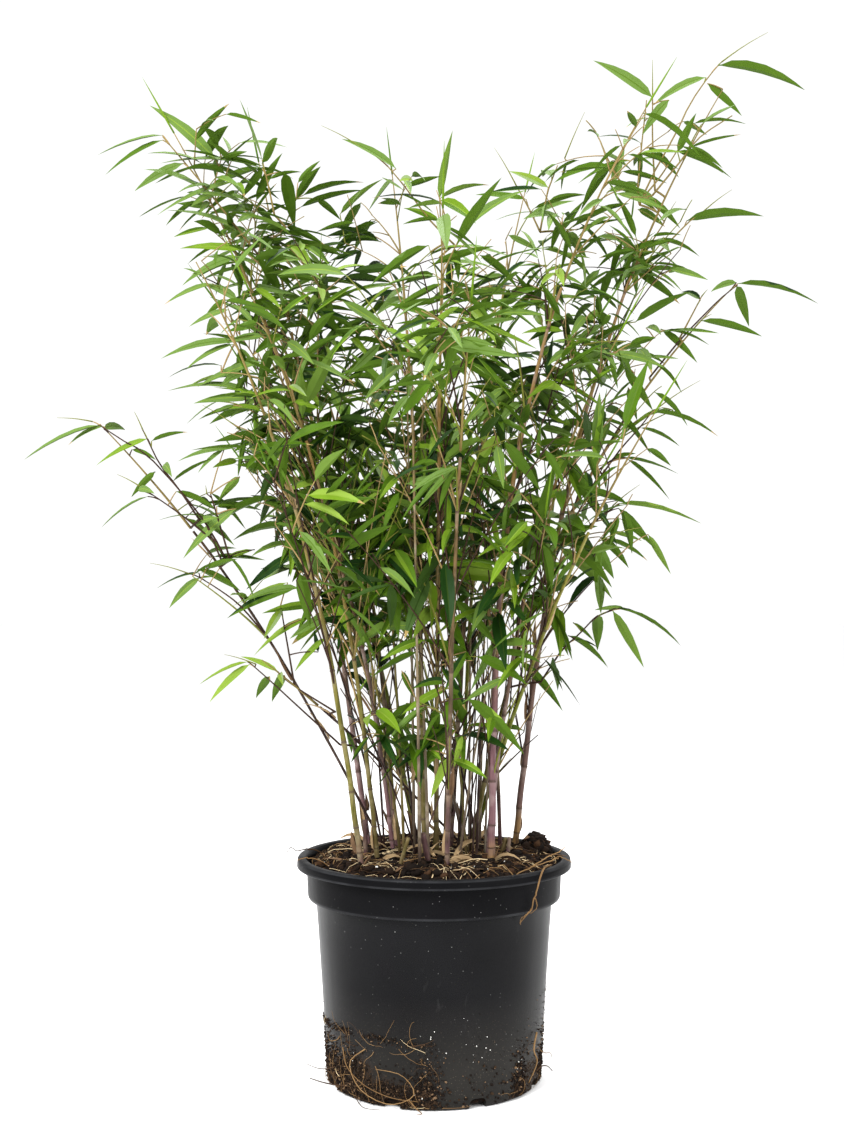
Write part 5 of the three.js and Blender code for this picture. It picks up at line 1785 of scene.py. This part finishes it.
rng = np.random.default_rng(53)
cane_stops = [np.array([culm["line"].at(t) for t in np.linspace(0.15, 1, 60)]) for culm in culms]
limbs = np.concatenate([mass_stops, *twig_stops(), *cane_stops])
for depth, rows in OUTER_STEMS.items():
    for corners in rows:
        stem = drawn([(x, depth, z) for x, z in corners], 10)
        foot = nearest_limb(stem[0], limbs)
        home = nearest_mass(stem[-1])
        draw_twig(home, bowed(foot, stem[0], 0.03), 2.0, 1.8, BROWN_TWIG)
        draw_twig(home, stem, 1.8, 1.0, BROWN_TWIG)
        limbs = np.concatenate([limbs, stem])
for depth, rows in OUTER_LEAVES.items():
    for x0, z0, x1, z1, shown, green in rows:
        root, tip = np.array([(x0, depth, z0), (x1, depth, z1)], dtype=float)
        home = nearest_mass(root)
        seen = np.linalg.norm(tip - root)
        if shown > 1:
            full = max(seen, shown / 0.2)
            tip[1] += rng.choice([-1, 1]) * math.sqrt(full**2 - seen**2)
            reach = tip - root
            length = np.linalg.norm(reach)
            width = max(shown, length * 0.15)
            is_steep = abs(reach[2]) > 0.8 * length
            droop = rng.uniform(0.1, 0.3) if is_steep else rng.uniform(0.3, 0.8)
            heading = unit(reach / length + UP * droop * 0.5)
            roll = roll_to_show(reach / length, shown * seen / (width * length))
            twist, fold = rng.normal(0, 0.2), rng.uniform(0.15, 0.4)
            leaf_rows.append((root, heading, roll, length * 1.02, width, droop, twist, fold))
            leaf_masses.append(home)
            leaf_greens.append(green)
        else:
            draw_twig(home, bowed(root, tip, 0.03), 1.3, 0.3, GREEN_TWIG)
        foot = nearest_limb(root, limbs)
        if np.linalg.norm(foot - root) > 2.5:
            draw_twig(home, bowed(foot, root, 0.05), 1.3, 0.9, rng.choice(3, p=[0.4, 0.4, 0.2]))

# Leaves and twigs as pieces: each leaf is a thin satin blade with a raised rib, paler underneath,
# and some have a dry tip. They are gathered by bearing round the clump, and stand for its masses.
REGIONS = 6
DRY_TIPS = 0.1
LEAF_THICKNESS = 0.35
LEAF_COLOURS = {
    # The deep greens go mostly to leaves inside and low in the crown, partly as painted shade.
    "leaf_deep": ((0.005, 0.021, 0.003), (0.013, 0.042, 0.005), 0.36),
    "leaf_green": ((0.04, 0.09, 0.004), (0.062, 0.126, 0.006), 0.36),
    "leaf_fresh": ((0.09, 0.164, 0.007), (0.122, 0.208, 0.014), 0.36),
    "leaf_lime": ((0.13, 0.21, 0.018), (0.178, 0.27, 0.036), 0.36),
    "leaf_young": ((0.14, 0.205, 0.065), (0.21, 0.285, 0.12), 0.36),
    "under_dark": ((0.012, 0.03, 0.003), (0.025, 0.053, 0.006), 0.6),
    "under_deep": ((0.038, 0.081, 0.005), (0.062, 0.118, 0.009), 0.6),
    "under_pale": ((0.076, 0.138, 0.015), (0.112, 0.186, 0.028), 0.6),
    "rib_green": ((0.044, 0.09, 0.006), (0.07, 0.124, 0.01), 0.5),
    "rib_pale": ((0.122, 0.192, 0.016), (0.168, 0.248, 0.034), 0.5),
    "dry_tip": ((0.2, 0.14, 0.045), (0.36, 0.265, 0.1), 0.6),
    "leaf_cool_deep": ((0.024, 0.054, 0.01), (0.046, 0.086, 0.018), 0.36),
    "leaf_cool": ((0.07, 0.128, 0.02), (0.11, 0.182, 0.038), 0.36),
}


def leaf_finish(name, dark, light, roughness):
    """Leaf skin: satin, one green that drifts a little, with fine veins along the blade."""
    finish = Finish(name, light, roughness, 0.06)
    finish.colour(finish.mixed(finish.speckle(45.0, 2.0), dark, light))
    place = finish.add("UVMap", uv_map="blade").outputs["UV"]
    inputs = {"Vector": place, "Scale": (9.0, 0.4, 1.0)}
    along = finish.add("Mapping", inputs).outputs["Vector"]
    finish.bump(finish.speckle(6.0, 1.0, along), 0.0004, 0.35)
    return finish.material


leaf_finishes = [leaf_finish(name, *colours) for name, colours in LEAF_COLOURS.items()]
finish_of = {name: i for i, name in enumerate(LEAF_COLOURS)}
UNDERS = ["under_dark", "under_deep", "under_deep", "under_pale", "under_pale"]
RIBS = ["under_dark", "rib_green", "rib_pale", "rib_pale", "rib_pale"]
under_of, rib_of = (np.array([finish_of[name] for name in names]) for names in (UNDERS, RIBS))


def region_of(mass):
    """Masses are grouped by their bearing round the clump."""
    middle = mass["stops"][8]
    return int(math.atan2(middle[1], middle[0]) / math.tau % 1 * REGIONS)


def leaf_shades(rows, greens, painted_half_shifts, owner, column):
    """The finish of each face of some leaves, by how far out they are, their sides and tips, with
    one half of some painted lighter or darker.
    """
    outer = outer_share(*np.array([row[0] for row in rows]).T)
    # The outermost leaves are held to middle greens, and the deepest green, partly painted shade,
    # is kept off leaves near the crown's edge.
    greens = np.minimum(greens, np.select([outer > 1.1, outer > 0.8], [1, 2], 4))
    greens = np.maximum(greens, outer > 0.75)
    green = greens[owner]
    # Painted light: the leaf's other half takes the next green up or down, a painted highlight or
    # painted shade on one side of the crease.
    other = np.clip(green + painted_half_shifts[owner], 0, len(GREENS) - 2)
    columns = [column == 0, column == 1, column == 2]
    finishes = np.select(columns, [green, rib_of[green], other], under_of[green])
    blade_faces = len(rows) * (len(BLADE_STOPS) - 1) * (len(RIBBED) + 1)
    dry = rng.uniform(size=len(rows)) < DRY_TIPS
    tips = np.arange(blade_faces, blade_faces + len(rows) * (len(RIBBED) + 1))
    finishes[tips[dry[owner[tips]]]] = finish_of["dry_tip"]
    chance = np.interp(outer, (0.35, 0.95), (0.08, 0.8))
    cool = (rng.uniform(size=len(rows)) < chance) & (greens < 4)
    cooled = cool[owner] & (finishes < len(GREENS))
    finishes[cooled] = finish_of["leaf_cool_deep"] + (green[cooled] > 0)
    return finishes


def lay_veins(leaves):
    """Maps each blade across and along, for its veins."""
    across_blade = np.append(np.tile([0, 0.45, 0.55, 1, 0.5], len(BLADE_STOPS)), 0.5)
    along_blade = np.append(np.repeat(BLADE_STOPS, len(RIBBED) + 1), 1.0)
    corners = np.empty(len(leaves.data.loops), dtype=np.int32)
    leaves.data.loops.foreach_get("vertex_index", corners)
    local = corners % len(across_blade)
    layer = leaves.data.uv_layers.new(name="blade")
    layer.data.foreach_set("uv", np.stack([across_blade[local], along_blade[local]], 1).reshape(-1))


home_of = {mass["name"]: region_of(mass) for mass in masses}
leaf_homes = np.array([home_of[mass["name"]] for mass in leaf_masses])
greens = np.array(leaf_greens)
# Painted light: for about a fifth of the leaves one half is painted a step lighter, and for another
# fifth a step darker.
painted_half_shifts = rng.choice([-1, 0, 1], len(greens), p=[0.22, 0.56, 0.22])
for region in range(REGIONS):
    nodes = [name for name, home in home_of.items() if home == region]
    if not nodes:
        continue
    chosen = np.flatnonzero(leaf_homes == region)
    rows = [leaf_rows[i] for i in chosen]
    points, faces, owner, column = blades(rows, LEAF_OUTLINE, LEAF_THICKNESS, RIBBED)
    finishes = leaf_shades(rows, greens[chosen], painted_half_shifts[chosen], owner, column)
    leaves = joined(f"leaves_{region + 1}", points, faces, leaf_finishes, finishes)
    lay_veins(leaves)
    smooth(leaves, 14)
    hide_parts(*nodes)

    points, faces, shades = np.empty((0, 3)), [], []
    for drawn_rows in twigs_drawn.values():
        rows = [row for row in drawn_rows if home_of[row[2]["name"]] == region]
        if not rows:
            continue
        own_paths, own_girths = [row[0] for row in rows], [row[1] for row in rows]
        own_points, own_faces, owner = threads(own_paths, own_girths, 5)
        faces += [[corner + len(points) for corner in face] for face in own_faces]
        points = np.concatenate([points, own_points])
        shades.append(np.array([row[3] for row in rows])[owner])
    shades = np.concatenate(shades)
    twig_piece = joined(f"twigs_{region + 1}", points, faces, twig_finishes, shades)
    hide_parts(*nodes)

paths = [bowed(foot, foot + (point - foot) * 0.98, 0.0) for foot, point in spears]
girths = np.tile([1.5, 1.7, 1.6, 1.3, 0.8, 0.15], (len(spears), 1))
spear_finishes = [leaf_finishes[finish_of[name]] for name in ("leaf_fresh", "leaf_green")]
shades = rng.choice(2, len(spears))
spear_piece = thread_piece("rolled_leaves", paths, girths, 6, spear_finishes, shades)

# Studio: a plain pale floor, a white surround and large soft lamps, seen from the front at the
# height of the middle of the plant.
floor_mesh = bpy.data.meshes.new("floor")
floor_mesh.from_pydata([(-20, -20, 0), (20, -20, 0), (20, 20, 0), (-20, 20, 0)], [], [(0, 1, 2, 3)])
floor = placed("floor", floor_mesh)
floor_finish = Finish("floor", (0.96, 0.96, 0.96), 0.9)
floor_mesh.materials.append(floor_finish.material)
floor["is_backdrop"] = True

world = bpy.data.worlds.new("surround")
bpy.context.scene.world = world
world.use_nodes = True
world.node_tree.nodes["Background"].inputs["Color"].default_value = (1, 1, 1, 1)
world.node_tree.nodes["Background"].inputs["Strength"].default_value = 1.05
bpy.context.scene.view_settings.view_transform = "Standard"


def soft_lamp(name, place, aim, size, power):
    """A large square lamp turned towards a place."""
    lamp = bpy.data.lights.new(name, "AREA")
    lamp.shape = "SQUARE"
    lamp.size = size
    lamp.energy = power
    holder = placed(name, lamp)
    holder.location = place
    holder.rotation_euler = (Vector(aim) - Vector(place)).to_track_quat("-Z", "Y").to_euler()


soft_lamp("key", (-1.3, -1.5, 1.9), (0, 0, 0.45), 1.0, 92)
soft_lamp("fill", (1.6, -1.2, 1.1), (0, 0, 0.4), 1.4, 22)
soft_lamp("top", (0.2, 0.4, 2.3), (0, 0, 0.5), 1.3, 48)

PHOTO_HEIGHT = 1146
FOCAL_PIXELS = 1471
HORIZON = 596
camera_data = bpy.data.cameras.new("camera")
camera_data.sensor_width = 36
camera_data.lens = 36 * FOCAL_PIXELS / PHOTO_HEIGHT
camera_data.shift_y = (HORIZON - PHOTO_HEIGHT / 2) / PHOTO_HEIGHT
camera = placed("camera", camera_data)
camera.location = (-0.0099, -1.217, 0.396)
camera.rotation_euler = (math.pi / 2, 0, 0)
bpy.context.scene.camera = camera

scene_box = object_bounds()
sizes = {
    "cad": [list(corner) for corner in cad_box],
    "scene": [list(corner) for corner in scene_box],
}
